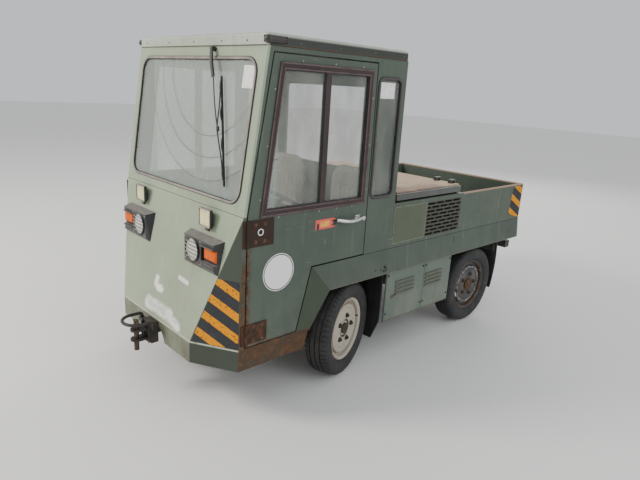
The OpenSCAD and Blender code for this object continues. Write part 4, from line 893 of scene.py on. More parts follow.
NODE_FINISH = {
    "chassis_frame": chassis_paint, "front_axle": iron, "rear_axle": iron, "engine_block": engine_iron,
    "nose_panel": front_paint, "windscreen_frame": front_paint, "cab_side_left": side_paint,
    "cab_side_right": side_paint, "cab_rear_wall": side_paint, "cab_roof": roof_paint,
    "cab_floor": inner_paint, "wheelhouses": chassis_paint, "cab_glass": window_glass,
    "window_seals": rubber, "fenders": fender_paint, "bed_walls": bed_paint, "rear_wall": bed_paint,
    "bed_floor": inner_paint, "louvre_panels": louvre_paint, "lamp_housings": lamp_black,
    "lamp_glasses": lens, "indicators": amber, "roof_lamps": black_plastic, "rear_lamps": red_lens,
    "wiper": black_plastic, "dashboard": inner_paint, "seats": cloth, "mudflaps": rubber,
    "tow_jaw_front": tow_iron, "tow_jaw_rear": tow_iron, "door_left": door_paint, "door_right": door_paint,
    "door_glass_left": window_glass, "door_glass_right": window_glass, "door_handle_left": chrome,
    "door_handle_right": chrome, "knuckle_left": iron, "knuckle_right": iron, "tie_rod": iron,
    "tyre_front_left": tyre_black, "tyre_front_right": tyre_black, "tyre_rear_left": tyre_black,
    "tyre_rear_right": tyre_black, "rim_front_left": rim_cream, "rim_front_right": rim_cream,
    "rim_rear_left": rim_dark, "rim_rear_right": rim_dark, "steering_wheel": black_plastic,
    "tow_pin_front": pin_steel, "tow_pin_rear": pin_steel, "engine_cover": cover_paint, "cover_board": wood}
for node, finish in NODE_FINISH.items():
    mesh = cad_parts[node].data
    mesh.materials.clear()
    mesh.materials.append(finish)

# Finishes of the pieces below

def hazard_paint():
    """Slanting orange and dark bands, 48 mm of each 113 mm orange, with chipped edges: a band's
    place is v + 0.54 u on the patch's own flat map."""
    p = Paint("hazard_bands")
    u, v = p.uv()
    place = v + u * 0.54 + p.noise(30, 4, 0.7) * 7 - 3.5
    pitch = 113
    phase = p.math("MODULO", place - 184 + 10 * pitch, pitch)
    orange = p.mix(p.noise(60, 3) * 0.6, (0.82, 0.31, 0.0), (0.70, 0.25, 0.0))
    tone = p.mix(phase.between(0.6, 48, 0.7), (0.045, 0.047, 0.051), orange)
    tone = p.mix(p.noise(13, 4, 0.75).step(0.58, 0.61) * 0.9, tone, (0.035, 0.030, 0.026))
    tone = p.mix(p.noise(120, 3).step(0.5, 0.8) * 0.04, tone, DUST)
    return p.finish(tone, p.noise(60, 2) * 0.2 + 0.55, bumps=[(p.noise(5, 2), 0.08)],
                    fixed={"Specular IOR Level": 0.12})


def disc_print():
    """The blank speed disc: worn white with a thin black ring 95 mm from its middle."""
    p = Paint("speed_disc")
    u, v = p.uv()
    reach = p.math("SQRT", u * u + v * v)
    ring = reach.between(90.5, 96, 0.8) * p.noise(30, 3, 0.7).step(0.20, 0.30)
    tone = p.mix(p.noise(50, 4, 0.6) * 0.5, (0.94, 0.91, 0.89), (0.76, 0.73, 0.70))
    tone = p.mix(p.noise(8, 4, 0.7).step(0.64, 0.70) * 0.6, tone, (0.30, 0.27, 0.22))
    tone = p.mix(ring, tone, (0.02, 0.02, 0.02))
    return p.finish(tone, 0.42, bumps=[(p.noise(6, 2), 0.06)])


def red_label():
    """A blank red label with a yellow middle and a dark point at its rear end."""
    p = Paint("red_label")
    u, v = p.uv()
    wide = p.math("ABSOLUTE", v)
    middle = u.between(-42, 26, 5) * wide.step(17, 13) * p.noise(20, 3).step(0.25, 0.5)
    tone = p.mix(p.noise(30, 3), (0.78, 0.085, 0.055), (0.70, 0.12, 0.08))
    tone = p.mix(middle, tone, (0.85, 0.42, 0.06))
    tone = p.mix(u.between(-68, -52, 2) * v.step(10, 2), tone, (0.02, 0.02, 0.02))
    tone = p.mix((u + wide).step(52, 56) * wide.step(18, 14), tone, (0.02, 0.02, 0.02))
    return p.finish(tone, 0.4, bumps=[(p.noise(8, 2), 0.05)])


def ridge_highlight(p):
    """The ridges of the door window's frame, which stand proud of its middle, painted paler in broken streaks: a
    painted highlight.
    """
    wide = p.math("ABSOLUTE", p.across)
    return wide.step(HALF_W + 6.8, HALF_W + 7.4) * p.noise(60, 3, 0.6).step(0.25, 0.55)


def strip_paint():
    """The filler strip of the window seals: pale round the windscreen, which is dust and painted sunlight on the front,
    and dark elsewhere.
    """
    p = Paint("strip_rubber")
    dark = p.mix(p.noise(70, 4), (0.085, 0.075, 0.072), (0.050, 0.046, 0.044))
    # The pale tone is partly dust and partly painted sunlight on the windscreen's seal.
    pale = p.mix(p.noise(90, 4, 0.6).step(0.3, 0.7), (0.34, 0.29, 0.24), (0.20, 0.175, 0.155))
    tone = p.mix(p.station.step(240, 180), dark, pale)
    tone = p.mix(p.noise(8, 3, 0.7).step(0.55, 0.75) * 0.4, tone, (0.05, 0.045, 0.042))
    return p.finish(tone, 0.65, bumps=[(p.noise(4, 3), 0.12)])


hazard = hazard_paint()
disc_white = disc_print()
label_red = red_label()
strip_rubber = strip_paint()
paper = plain("sun_bleached_paper", (0.95, 0.95, 0.93), (0.80, 0.79, 0.75), 24, 0.7, 0.0, 0.05, 3)
frame_brown = worn_paint("frame_brown", (0.060, 0.041, 0.041), (0.042, 0.031, 0.030), 0.3, 0.1, [
    (ridge_highlight, (0.125, 0.085, 0.086), 0.4)], gloss=0.34)
zinc = plain("zinc", (0.42, 0.41, 0.38), (0.30, 0.28, 0.24), 8, 0.38, 0.8, 0.05, 3)
rusty_nut = plain("rusty_nut", (0.085, 0.055, 0.038), (0.045, 0.034, 0.028), 12, 0.7, 0.3, 0.3, 4)
rusty_iron = plain("rusty_iron", (0.17, 0.085, 0.045), (0.075, 0.042, 0.028), 14, 0.85, 0.1, 0.4, 5)
green_screw = plain("painted_screw", GREEN, (0.09, 0.10, 0.08), 6, 0.5, 0.0, 0.1, 3)

# Tyres and wheels

def at_wheel(part, front, left):
    """Carries a part drawn about a wheel's middle (outwards, rearwards, up) to its place; the
    front wheels are turned about their kingpins."""
    part = moved(part, by=(TRACK, FRONT_AXLE if front else REAR_AXLE, TYRE_R))
    part = part if left else mirrored(part)
    if not front:
        return part
    pin = np.array((KINGPIN if left else -KINGPIN, FRONT_AXLE, 0))
    return moved(moved(part, by=-pin), turn("Z", PARK_STEER), pin)


def road_tyre():
    """A tyre about the X axis. Its section is a curve through the bead, side wall and shoulder,
    then the tread with three grooves. At angle a each tread column is shifted by a triangle
    wave, so the grooves zigzag, and the shoulder sinks by 4 mm over a fifth of each pitch. A plain
    liner closes the section inside."""
    pitches = 60
    phase = np.array([0, 0.03, 0.20, 0.23, 0.42, 0.61, 0.80])
    phase = (np.arange(pitches)[:, None] + phase).ravel()
    wall = along([(44, 0, 179), (58.5, 0, 195.5), (70.5, 0, 211), (75, 0, 238.5), (73, 0, 261),
                  (67.5, 0, 275)], 5)
    x, r = wall[:, 0], wall[:, 2]
    rib = sum(1.3 * np.exp(-((r - mid) / 1.6) ** 2) for mid in (201, 246, 256))
    x = np.minimum(x + rib * 0.6, 75)
    groove_x, groove_r = [], []
    for middle in (31.5, 0, -31.5):
        groove_x += [middle + 4.2, middle + 2.6, middle - 2.6, middle - 4.2]
        groove_r += [0, -8, -8, 0]
    liner = np.array([(-40, 183), (-60, 214), (-63, 240), (-55, 262), (-28, 271), (28, 271), (55, 262),
                      (63, 240), (60, 214), (40, 183)])
    tread_x = np.array([58.5, 46] + groove_x[:4] + [16] + groove_x[4:8] + [-16] + groove_x[8:] + [-46, -58.5])
    cut = np.array([0, 0] + groove_r[:4] + [0] + groove_r[4:8] + [0] + groove_r[8:] + [0, 0])
    tread_r = TYRE_R - 4 * (np.maximum(np.abs(tread_x) - 30, 0) / 28.5) ** 2 + cut
    across = np.concatenate([x, tread_x, -x[::-1], liner[:, 0]])
    radius = np.concatenate([r, tread_r, r[::-1], liner[:, 1]])
    wave = 2.4 * (4 * np.abs(phase % 1 - 0.5) - 1)
    inner_tread = (np.abs(across) < 40) & (radius > 272)
    moved_x = across[None] + wave[:, None] * inner_tread
    notch = ((phase % 1 > 0.01) & (phase % 1 < 0.21))[:, None] * (
        ((np.abs(across) > 44) & (radius > 268)) * 4.0)
    angle = phase[:, None] * 2 * math.pi / pitches
    rr = radius[None] - notch
    return grid(np.stack([moved_x, rr * np.cos(angle), rr * np.sin(angle)], -1), wrap_u=True, wrap_v=True)


def wheel_nuts():
    """Five cone nuts on collars, 80 mm from the wheel's middle: at turn a each lies at
    (r cos a, r sin a)."""
    parts = []
    for k in range(5):
        a = math.radians(77 - 72 * k)
        nut = [revolve([(13, 0), (13, 9), (10, 14), (5, 15), (5, 19), (0.5, 19)], 6),
               revolve([(16, 0), (16, 2.5), (13, 3.5)], 20)]
        parts += on_side(nut, 80 * math.cos(a), 80 * math.sin(a), 46.5)
    return parts


def hub_cap():
    """The hub's cap in its pocket: a stepped round cap with a six-sided nut."""
    cap = [revolve([(33, 0), (33, 15.4), (31, 17.4), (24, 18.4), (22, 19.6), (0.5, 19.6)], 36),
           revolve([(15, 19), (15, 24), (11, 26.4), (0.5, 26.4)], 6)]
    rings = [revolve([(45.6, 0), (45.6, 5), (43, 6), (34, 6), (34, 0)], 36, True),
             revolve([(57.6, 8.4), (57.6, 10), (55, 11.4), (48, 11), (45.8, 9.6), (45.8, 8.4)], 48, True)]
    return on_side(cap, 0, 0, 36) + on_side(rings, 0, 0, 33.2)


def valve():
    """A tyre valve: a bent stem with a longer knurled cap, which leans outwards."""
    stem = along([(30, 134, 34), (44, 137, 35), (54, 139, 36)], 4)
    return [sweep(stem, disc(4.2, 10)), sweep([(52, 138.6, 35.8), (66, 141.4, 36.8)], disc(5, 12))]


for front, end in ((True, "front"), (False, "rear")):
    for left, side in ((True, "left"), (False, "right")):
        body = f"wheel_{end}_{side}"
        tyre = piece(f"road_tyre_{end}_{side}", body, tyre_black, [at_wheel(road_tyre(), front, left)],
                     smooth=40)
        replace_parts(tyre, f"tyre_{end}_{side}")
        for name, parts, finish in (("wheel_nuts", wheel_nuts(), rusty_nut if front else iron),
                                    ("hub_cap", hub_cap(), iron if front else rusty_iron),
                                    ("tyre_valve", valve(), black_plastic)):
            piece(f"{name}_{end}_{side}", body, finish, [at_wheel(p, front, left) for p in parts])

# Doors

WINDOW = np.array([(90, 1063), (824, 1063), (824, 1782), (186, 1782)], float)
WINDOW_K = 96 / 719
WINDOW_S = math.sqrt(1 + WINDOW_K ** 2)


def window_ring(inset):
    """The door window's four corners moved inwards; the leaning front edge moves by inset as well,
    so its ends go by inset times (s + k) and inset times (s - k)."""
    shift = [(WINDOW_S + WINDOW_K, 1), (-1, 1), (-1, -1), (WINDOW_S - WINDOW_K, -1)]
    return WINDOW + inset * np.array(shift)


def window_loop(profile):
    """A mitred frame: each profile point (inset, x) becomes the window's ring at that inset and x."""
    rings = [np.column_stack([np.full(4, x), window_ring(o)]) for o, x in profile]
    return grid(np.array(rings), wrap_u=True, wrap_v=True)


FRAME_X = HALF_W + 4
door_frame = [
    window_loop([(0, FRAME_X - 1), (0, FRAME_X + 2.4), (1.5, FRAME_X + 3.8), (8.5, FRAME_X + 3.8),
                 (11, FRAME_X + 1.4), (24, FRAME_X + 1.0), (26.5, FRAME_X + 3.6), (32, FRAME_X + 3.6),
                 (34.4, FRAME_X + 1.8), (34.4, FRAME_X - 9), (33, FRAME_X - 9), (32, FRAME_X - 1)]),
    moved(soft_box((8, 38, 656), 3), by=(HALF_W + 1.5, 493, 1422.5))]
door_rubber = [
    window_loop([(33.9, HALF_W - 14), (33.9, HALF_W + 1), (38, HALF_W), (39, HALF_W - 5), (39, HALF_W - 14)]),
    moved(soft_box((9, 7, 650), 2), by=(HALF_W - 9, 471, 1422.5)),
    moved(soft_box((9, 7, 650), 2), by=(HALF_W - 13, 515, 1422.5))]
corners = window_ring(-9)
spots = [corners[a] + (corners[b] - corners[a]) * t for a, b, ts in (
    (3, 2, (0.22, 0.55, 0.86)), (1, 2, (0.12, 0.45, 0.79)), (0, 3, (0.13, 0.47, 0.82)),
    (0, 1, (0.17, 0.53, 0.70, 0.86))) for t in ts]
door_rivets = [p for y, z in spots for p in on_side([rivet(4.5, 2.4)], y, z)]
hinge_bolts = [p for z0, half in ((470, 36), (990, 42)) for y in (68, 122) for s in (-1, 1)
               for p in on_side(bolt(7, 5), y, z0 + s * half, HALF_W + 3.8)]
ring_path = np.column_stack([np.zeros(40), disc(15, 40)]) + (HALF_W + 6, 96, 994)
hinge_ring = [sweep(ring_path, disc(2.6, 8), closed=True, up=(1, 0, 0))]
for side, flip in (("left", False), ("right", True)):
    body = f"door_{side}_body"
    turned = (lambda parts: [mirrored(p) for p in parts]) if flip else list
    piece(f"door_window_frame_{side}", body, frame_brown, turned(door_frame), smooth=0)
    piece(f"door_window_rubber_{side}", body, rubber, turned(door_rubber))
    piece(f"door_rivets_{side}", body, zinc, turned(door_rivets))
    piece(f"hinge_bolts_{side}", body, rusty_iron, turned(hinge_bolts))
    piece(f"hinge_ring_{side}", body, paper, turned(hinge_ring))


def flat_map(outline):
    """The flat map of a plate: its three rings all read the outline itself, in metres."""
    outline = np.asarray(outline, float)
    middle = outline.mean(0)
    reach = np.linalg.norm(outline - middle, axis=1, keepdims=True)
    inner = middle + (outline - middle) * (1 - 0.2 / reach)
    return np.vstack([o[::-1] for o in (outline, outline, inner)]) / 1000


def sticker(name, body, material, outline, matrix, origin, mirror=False, thick=0.7, shift=(0, 0)):
    """A thin plate whose flat map is its outline plus a shift, carried to its place."""
    part = moved(plate(outline, thick, 0.2), matrix, origin)
    uv = flat_map(outline) + np.array(shift) / 1000
    return piece(name, body, material, [part], mirror, 0, np.vstack([uv, uv]) if mirror else uv)


SIDE_PLANE = np.array([(0, 0, 1), (1, 0, 0), (0, 1, 0)], float)
sticker("speed_disc", "door_left_body", disc_white, disc(100, 64), SIDE_PLANE, (HALF_W + 0.1, 221, 765))
arrow = np.array([(-78, -27), (48, -27), (72, -16), (80, 2), (72, 20), (48, 27), (-78, 27)], float)
sticker("door_label", "door_left_body", label_red, arrow, SIDE_PLANE, (HALF_W + 0.1, 537, 978))
sticker("quarter_label", "body", paper, round_corners(118, 86, 4), SIDE_PLANE, (HALF_W - 11, 962, 1680))

# Hazard bands: on each facet of the nose, and at the rear end of both sides

facet_low = np.array((NOSE_HALF, -NOSE_REACH, NOSE_Z), float)
facet_corner = np.array((HALF_W, -NOSE_CORNER, NOSE_Z), float)
facet_top = np.array((HALF_W, 0, BELT_Z), float)
facet_u = (facet_corner - facet_low) / np.linalg.norm(facet_corner - facet_low)
facet_w = (facet_top - facet_corner) / np.linalg.norm(facet_top - facet_corner)
facet_n = np.cross(facet_u, facet_w)
facet_w = np.cross(facet_n / np.linalg.norm(facet_n), facet_u)
facet_plane = np.column_stack([facet_u, facet_w, facet_n / np.linalg.norm(facet_n)])
sticker("front_hazard_bands", "body", hazard, [(12, 9), (271, 9), (270, 361), (150, 363)],
        facet_plane, facet_low, mirror=True)
sticker("rear_hazard_bands", "body", hazard, [(2543, 798), (2712, 754), (2712, 1012), (2573, 1012)],
        SIDE_PLANE, (HALF_W, 0, 0), mirror=True, shift=(-2543, -736.3))

# Window seals

screen_plane = np.array([(1, 0, 0), (0, math.sin(LEAN), -math.cos(LEAN)),
                         (0, math.cos(LEAN), math.sin(LEAN))])
screen_origin = (0, 0, BELT_Z)


def on_screen(part):
    """Carries a part drawn on width, slope length and outwards to the windscreen's plane."""
    return moved(part, screen_plane, screen_origin)


REAR_PLANE = np.array([(-1, 0, 0), (0, 0, 1), (0, 1, 0)], float)


def seal(x0, y0, x1, y1, r, thick):
    """A window seal drawn flat on its sheet: a rubber section with a lip over the sheet and one on
    the glass, carried round the opening's edge, and the dusty filler strip pressed into it."""
    path = round_corners(x1 - x0, y1 - y0, r, 8) + ((x0 + x1) / 2, (y0 + y1) / 2)
    path = np.column_stack([path, 0 * path[:, 0]])
    section = [(-10, 0.3), (-9.6, 3.6), (-7, 5.8), (-4, 6.3), (3, 6.3), (5.6, 5.6), (7.6, 3.4), (7.8, 0),
               (7.8, -thick), (0.5, -thick), (0.5, 0.3)]
    strip = [(-6.4, 5.6), (-5.8, 6.9), (-3, 7.4), (2, 7.4), (4.6, 6.7), (5, 5.4)]
    return sweep(path, section, closed=True), sweep(path, strip, closed=True)


seals = [(screen_plane, screen_origin, seal(-558, 52, 558, 722, 70, 14)),
         (SIDE_PLANE, (HALF_W, 0, 0), seal(876, 1086, 1063, 1743, 34, WALL)),
         (REAR_PLANE, (0, CAB_REAR, 0), seal(-430, 1180, 430, 1700, 34, WALL))]
for k, name, finish in ((0, "window_rubber", rubber), (1, "seal_strip", strip_rubber)):
    parts = [moved(made[k], plane, origin) for plane, origin, made in seals]
    parts.append(mirrored(parts[1]))
    made = piece(name, "body", finish, parts, smooth=50)
    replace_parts(made, "window_seals")

# Windscreen: wiper, label and roof screws

PIVOT = np.array((PIVOT_X, PIVOT_UP, 18.0))
KNEE = np.array((258, 628, 28.0))
ARM_END = np.array((360, 384, 38.0))
BLADE = np.array([(292, 636, 10), (436, 117, 10)], float)


def wiper():
    """A round pivot head, a pressed channel and a thin rod that carry the blade's bow, claws under
    the bow and a rubber lip. The spring in the channel is a helix about the channel's line, and
    the bow is a curve through points above the blade's line."""
    def over(share, rise):
        """The place at a share of the blade's length, raised off the glass."""
        return BLADE[0] + (BLADE[1] - BLADE[0]) * share + (0, 0, rise)

    channel = [(-9, 6), (-9, -3), (-7, -3), (-7, 4), (7, 4), (7, -3), (9, -3), (9, 6)]
    middle = PIVOT * 0.5 + KNEE * 0.5 + (0, 0, 8)
    arm = sweep(along([PIVOT + (0, 0, 4), middle, KNEE + (0, 0, 3)], 8), channel)
    root, middle = KNEE * 1.1 - ARM_END * 0.1 + (0, 0, 3), KNEE * 0.5 + ARM_END * 0.5 + (0, 0, 6)
    rod = sweep(along([root, middle, ARM_END], 8), disc(3.2, 8))
    head = moved(revolve([(13, 0), (13, 7), (10, 11), (4, 12.5), (0.5, 12.5)], 24), by=PIVOT + (0, 0, -2))
    base = moved(revolve([(11.5, 0.3), (11.5, 10), (9, 18), (9, 22)], 20), by=(*PIVOT[:2], 0))
    t = np.linspace(0, 1, 120)[:, None]
    coil = PIVOT * (0.9 - 0.75 * t) + KNEE * (0.1 + 0.75 * t) + np.hstack(
        [3.2 * np.cos(t * 75), 0 * t, 3.2 * np.sin(t * 75) + 4])
    spring = sweep(coil, disc(0.8, 6), up=(0.3, 1, 0.1))
    bow = sweep(along([over(0.1, 5), over(0.28, 15), ARM_END, over(0.72, 13), over(0.88, 5)], 8),
                round_corners(4, 7, 1.5, 3))
    claws = [sweep(along([over(k - 0.06, 4), over(k, 8), over(k + 0.06, 4)], 5), round_corners(9, 4, 1.5, 3))
             for k in (0.1, 0.34, 0.62, 0.88)]
    back = sweep([over(0, 2), over(0.5, 2), over(1, 2)], round_corners(7, 3, 1, 3))
    lip = sweep([over(0, -4), over(0.5, -4), over(1, -4)],
                [(-3.5, 5), (-1, 0), (-0.6, -5), (0.6, -5), (1, 0), (3.5, 5)])
    clip = moved(soft_box((14, 26, 12), 2), turn("Z", 15.5), ARM_END - (0, 0, 3))
    return [on_screen(p) for p in (arm, rod, head, base, spring, bow, back, lip, clip, *claws)]


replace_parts(piece("wiper_arm_and_blade", "body", black_plastic, wiper()), "wiper")
sticker("windscreen_label", "body", paper, round_corners(84, 104, 4), screen_plane,
        np.array(screen_origin) + screen_plane @ (498, 640, -3))
SCREW_Z = 1866
side_screws = [p for y in (300, 560, 820, 1060) for p in on_side([rivet(5, 2.6)], y, SCREW_Z, HALF_W + 4)]
front_screws = [moved(rivet(5, 2.6), facing((0, -1, 0)), (x, 104.8, SCREW_Z))
                for x in (-520, -260, 0, 260, 470)]
piece("roof_screws", "body", green_screw, side_screws + front_screws + [mirrored(p) for p in side_screws])

# Lamps

LAMP = (298, 855)
AMBER = (451.5, 861)
WORK = (351.5, 1024)
WORK_FRONT = -49


def in_front(part, x, station, z):
    """Carries a part that stands on z = 0 to a place on the front, looking forwards."""
    return moved(part, facing((0, -1, 0)), (x, station, z))


def headlamp():
    """Pressed lamp glass: a dome 5 mm high, 1 - (r / R) squared, with upright flutes whose depth
    is 0.8 mm times a sine of x, and a bright rim round it."""
    r = np.concatenate([[57, 57], np.linspace(56, 0.6, 22)])[:, None]
    a = -np.arange(72) * 2 * math.pi / 72
    x = r * np.cos(a)
    height = 5 * (1 - (r / 57) ** 2) + 0.8 * np.sin(x * 2 * math.pi / 9.5) * (r < 52) * (r > 3)
    height[0] = -4
    dome = grid(np.stack([x, r * np.sin(a), height], -1), wrap_v=True, cap_u=True)
    rim = revolve([(57.6, -2), (57.6, 3), (55.5, 4), (54, 1)], 48)
    return [in_front(p, LAMP[0], HEAD_FRONT + 1, LAMP[1]) for p in (dome, rim)]


def square_lens(w, h, fine=24):
    """A nearly flat square glass: height 4 mm times (1 - u^4)(1 - v^4), with fine upright flutes."""
    u = np.linspace(-1, 1, fine * 2 + 1)[:, None]
    v = np.linspace(-1, 1, 13)[None]
    height = 4 * (1 - u ** 4) * (1 - v ** 4) + 0.5 * np.sin(u * fine * math.pi / 2) * (np.abs(v) < 0.95)
    return lidded(np.stack([u * w / 2 + 0 * v, v * h / 2 + 0 * u, height], -1))


def ribbed_lens(w, h, rise, ribs):
    """A moulded lens: it rises as the square root of the distance from its edges, and its face
    carries upright ribs, cut by a cosine of x."""
    u = np.linspace(-1, 1, 8 * ribs + 1)[:, None]
    v = np.linspace(-1, 1, 15)[None]
    edge = np.minimum(1, (1 - np.abs(u)) * 9) ** 0.5 * np.minimum(1, (1 - np.abs(v)) * 5) ** 0.5
    height = rise * edge + 0.9 * np.cos(u * ribs * math.pi) * (np.abs(u) < 0.93) * (np.abs(v) < 0.9)
    return lidded(np.stack([u * w / 2 + 0 * v, v * h / 2 + 0 * u, height], -1))


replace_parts(piece("headlamp_glass", "body", lens, headlamp(), mirror=True, smooth=60),
            "lamp_glasses")
piece("work_lamp_glass", "body", work_lens, [in_front(square_lens(90, 81), WORK[0], WORK_FRONT + 2, WORK[1])],
      mirror=True, smooth=60)
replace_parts(piece("amber_lenses", "body", amber, [
    in_front(ribbed_lens(104, 60, 9, 9), AMBER[0], HEAD_FRONT + 13.7, AMBER[1])], mirror=True, smooth=60), "indicators")
lamp_screws = [in_front(rivet(4, 2.2), x, HEAD_FRONT, z) for x in (230, 374) for z in (794, 911)]
bezel = round_corners(98, 89, 5)
bezel_ring = sweep(np.column_stack([bezel, 0 * bezel[:, 0]]), disc(2.4, 8), closed=True)
piece("lamp_trim", "body", zinc, lamp_screws + [in_front(bezel_ring, WORK[0], WORK_FRONT, WORK[1])],
      mirror=True)

# Seats: cushions swollen by Cloth, then sewn channels, piping and a sheet-metal base

SEAT_X = 320


def blown(start, cap, name):
    """A cushion's cover, swollen from a start shape: it is remeshed at 6 mm, Cloth blows it up
    with a pressure of 4 over 20 frames, no point goes further than the cap, and one subdivision
    rounds it."""
    scene = bpy.context.scene
    mesh = bpy.data.meshes.new(name)
    mesh.from_pydata(start[0] / 1000, [], start[1])
    made = bpy.data.objects.new(name, mesh)
    scene.collection.objects.link(made)

    def evaluated():
        """The object's mesh with its modifiers."""
        bpy.context.view_layer.update()
        return bpy.data.meshes.new_from_object(made.evaluated_get(bpy.context.evaluated_depsgraph_get()))

    def places(mesh):
        """A mesh's points as rows of numbers."""
        found = np.empty(len(mesh.vertices) * 3, np.float32)
        mesh.vertices.foreach_get("co", found)
        return found.reshape(-1, 3).astype(float)

    remesh = made.modifiers.new("remesh", "REMESH")
    remesh.mode = "VOXEL"
    remesh.voxel_size = 0.006
    fine = evaluated()
    made.modifiers.clear()
    made.data = fine
    rest = places(fine)
    cloth = made.modifiers.new("cloth", "CLOTH")
    cloth.settings.use_pressure = True
    cloth.settings.uniform_pressure_force = 4
    cloth.settings.effector_weights.gravity = 0
    for frame_number in range(1, 21):
        scene.frame_set(frame_number)
    shift = places(evaluated()) - rest
    far = np.linalg.norm(shift, axis=1, keepdims=True)
    scene.frame_set(1)
    made.modifiers.clear()
    swollen = rest + shift * np.minimum(1, cap / 1000 / np.maximum(far, 1e-9))
    fine.vertices.foreach_set("co", swollen.ravel().astype(np.float32))
    fine.update()
    made.modifiers.new("round", "SUBSURF").levels = 1
    final = evaluated()
    points = places(final) * 1000
    corner = np.empty(len(final.loops), int)
    final.loops.foreach_get("vertex_index", corner)
    bpy.data.objects.remove(made)
    return points, corner.reshape(-1, 4).tolist()


def sewn(part, columns, low, high, reach, depth=7, width=5.5):
    """Channels sewn into a pad's upper side: at each column c the surface sinks by depth times
    exp(-((x - c) / width)^2) between low and high, and a cross seam ends them on both sides."""
    x, y, z = part[0].T
    ends = 1 / (1 + np.exp(-(y - low) / 3)) / (1 + np.exp((y - high) / 3))
    sides = 1 / (1 + np.exp(-(reach - np.abs(x)) / 3))
    pressed = sum(np.exp(-((x - c) / width) ** 2) for c in columns) * ends
    pressed = np.maximum(pressed, sum(np.exp(-((y - c) / width) ** 2) for c in (low, high)) * sides)
    upper = 1 / (1 + np.exp(-(z - 8) / 3))
    return np.column_stack([x, y, z - depth * pressed * upper]), part[1]


def piping(part, level, r=4.2, sides=120):
    """A cord sewn round a pad: the widest point of every sector of a thin layer, smoothed round
    the ring, with a round section."""
    x, y = part[0][np.abs(part[0][:, 2] - level) < 5, :2].T
    sector = ((np.arctan2(y, x) / (2 * math.pi)) % 1 * sides).astype(int) % sides
    reach = np.zeros(sides)
    np.maximum.at(reach, sector, np.hypot(x, y))
    for _ in range(2):
        reach = (np.roll(reach, 1) + 2 * reach + np.roll(reach, -1)) / 4
    a = (np.arange(sides) + 0.5) * 2 * math.pi / sides
    path = np.column_stack([reach * np.cos(a), reach * np.sin(a), 0 * a + level])
    return sweep(path, disc(r, 8), closed=True)


CHANNELS = (-110, -66, -22, 22, 66, 110)
cushion = blown(slab(round_corners(384, 344, 62, 8), [
    (26, -29), (8, -24), (0, -12), (0, 12), (8, 24), (26, 29)]), 24, "cushion")
cushion = (np.column_stack([cushion[0][:, :2], np.maximum(cushion[0][:, 2], -37)]), cushion[1])
cushion = sewn(cushion, CHANNELS, -112, 118, 150)
back = slab(round_corners(386, 404, (118, 118, 40, 40), 10), [
    (22, -20), (7, -16), (0, -7), (0, 7), (7, 16), (22, 20)])
back = blown((back[0] * (1, 1, 1.15), back[1]), 19, "back")
thin = 1 - 0.22 * (back[0][:, 1] / 404 + 0.5)
back = (np.column_stack([back[0][:, :2], back[0][:, 2] * thin]), back[1])
back = sewn(back, CHANNELS, -150, 66, 150, 6)
LEAN_BACK = math.atan(17 / 405)
back_plane = np.array([(1, 0, 0), (0, math.sin(LEAN_BACK), -math.cos(LEAN_BACK)),
                       (0, math.cos(LEAN_BACK), math.sin(LEAN_BACK))])
for side, x in (("left", SEAT_X), ("right", -SEAT_X)):
    for name, pad, plane, place in (("seat_cushion", cushion, None, (x, 830, 768)),
                                    ("seat_back", back, back_plane, (x, 1034, 1026))):
        made = piece(f"{name}_{side}", "body", cloth, [moved(pad, plane, place)], smooth=0)
        made.data.shade_smooth()
        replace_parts(made, "seats")
        piece(f"{name}_piping_{side}", "body", cloth_edge, [moved(piping(pad, 2), plane, place)], smooth=60)


def seat_base():
    """A folded box with a rolled lower edge, two runners, a slide lever and two bars that carry
    the back."""
    bars = [sweep([(s * 196, 985, 690), (s * 196, 1030, 740), (s * 196, 1056, 900)],
                  round_corners(6, 30, 2, 3), up=(1, 0, 0)) for s in (-1, 1)]
    runners = [moved(soft_box((34, 376, 16), 3), by=(s * 140, 830, 608)) for s in (-1, 1)]
    lever = sweep(along([(150, 690, 622), (150, 650, 622), (128, 643, 626)], 5), disc(5, 10))
    box = [moved(soft_box((392, 372, 104), 9), by=(0, 830, 669)),
           moved(soft_box((398, 378, 12), 4), by=(0, 830, 723))]
    return [moved(p, by=(SEAT_X, 0, 0)) for p in [*box, lever, *bars, *runners]]


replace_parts(piece("seat_bases", "body", black_plastic, seat_base(), mirror=True), "seats")

# Small fittings

plate_screws = [p for y in (1122, 1426) for z in (990, 786)
                for p in on_side([rivet(5, 2.6)], y, z, HALF_W + 2)]
panel_bolts = [p for y in (1122, 1484, 1516, 1798) for z in (560, 300)
               for p in on_side(bolt(6, 4), y, z, HALF_W - 6)]
piece("plate_screws", "body", green_screw, plate_screws, mirror=True)
piece("louvre_panel_bolts", "body", black_plastic, panel_bolts, mirror=True)


def door_handle():
    """A plated pull: a bar bowed outwards and down, thinner to its front end, on a post with a lock
    button, over a thin plate. The bar's section is an oval carried along the bow, and it swells
    as 0.62 + 0.38 sin(pi (0.25 + 0.6 t)) from its front end at t = 0."""
    bow = along([(9, 609, 990), (14, 618, 989), (27, 650, 983), (35, 695, 978), (37, 740, 980),
                 (37, 776, 986), (36, 800, 987)], 8) + (HALF_W, 0, 0)
    t = np.linspace(0, 1, len(bow))
    swell = (0.62 + 0.38 * np.sin(math.pi * (0.25 + 0.6 * t))) * np.minimum(1, 0.4 + 8 * (1 - t))
    bar = sweep(bow, disc(1, 16) * (8.5, 10.5), grow=swell)
    post = revolve([(11, 0.2), (11, 28), (12.5, 32), (12.5, 41), (11, 42.5), (7.5, 42.5), (7, 44),
                    (0.5, 44.4)], 32)
    shield = slab(round_corners(46, 28, 9, 6), [(0, 0.3), (0, 4), (2, 6), (5, 6.4)])
    return [bar, *on_side([post], 792, 986), moved(shield, SIDE_PLANE, (HALF_W, 781, 986))]


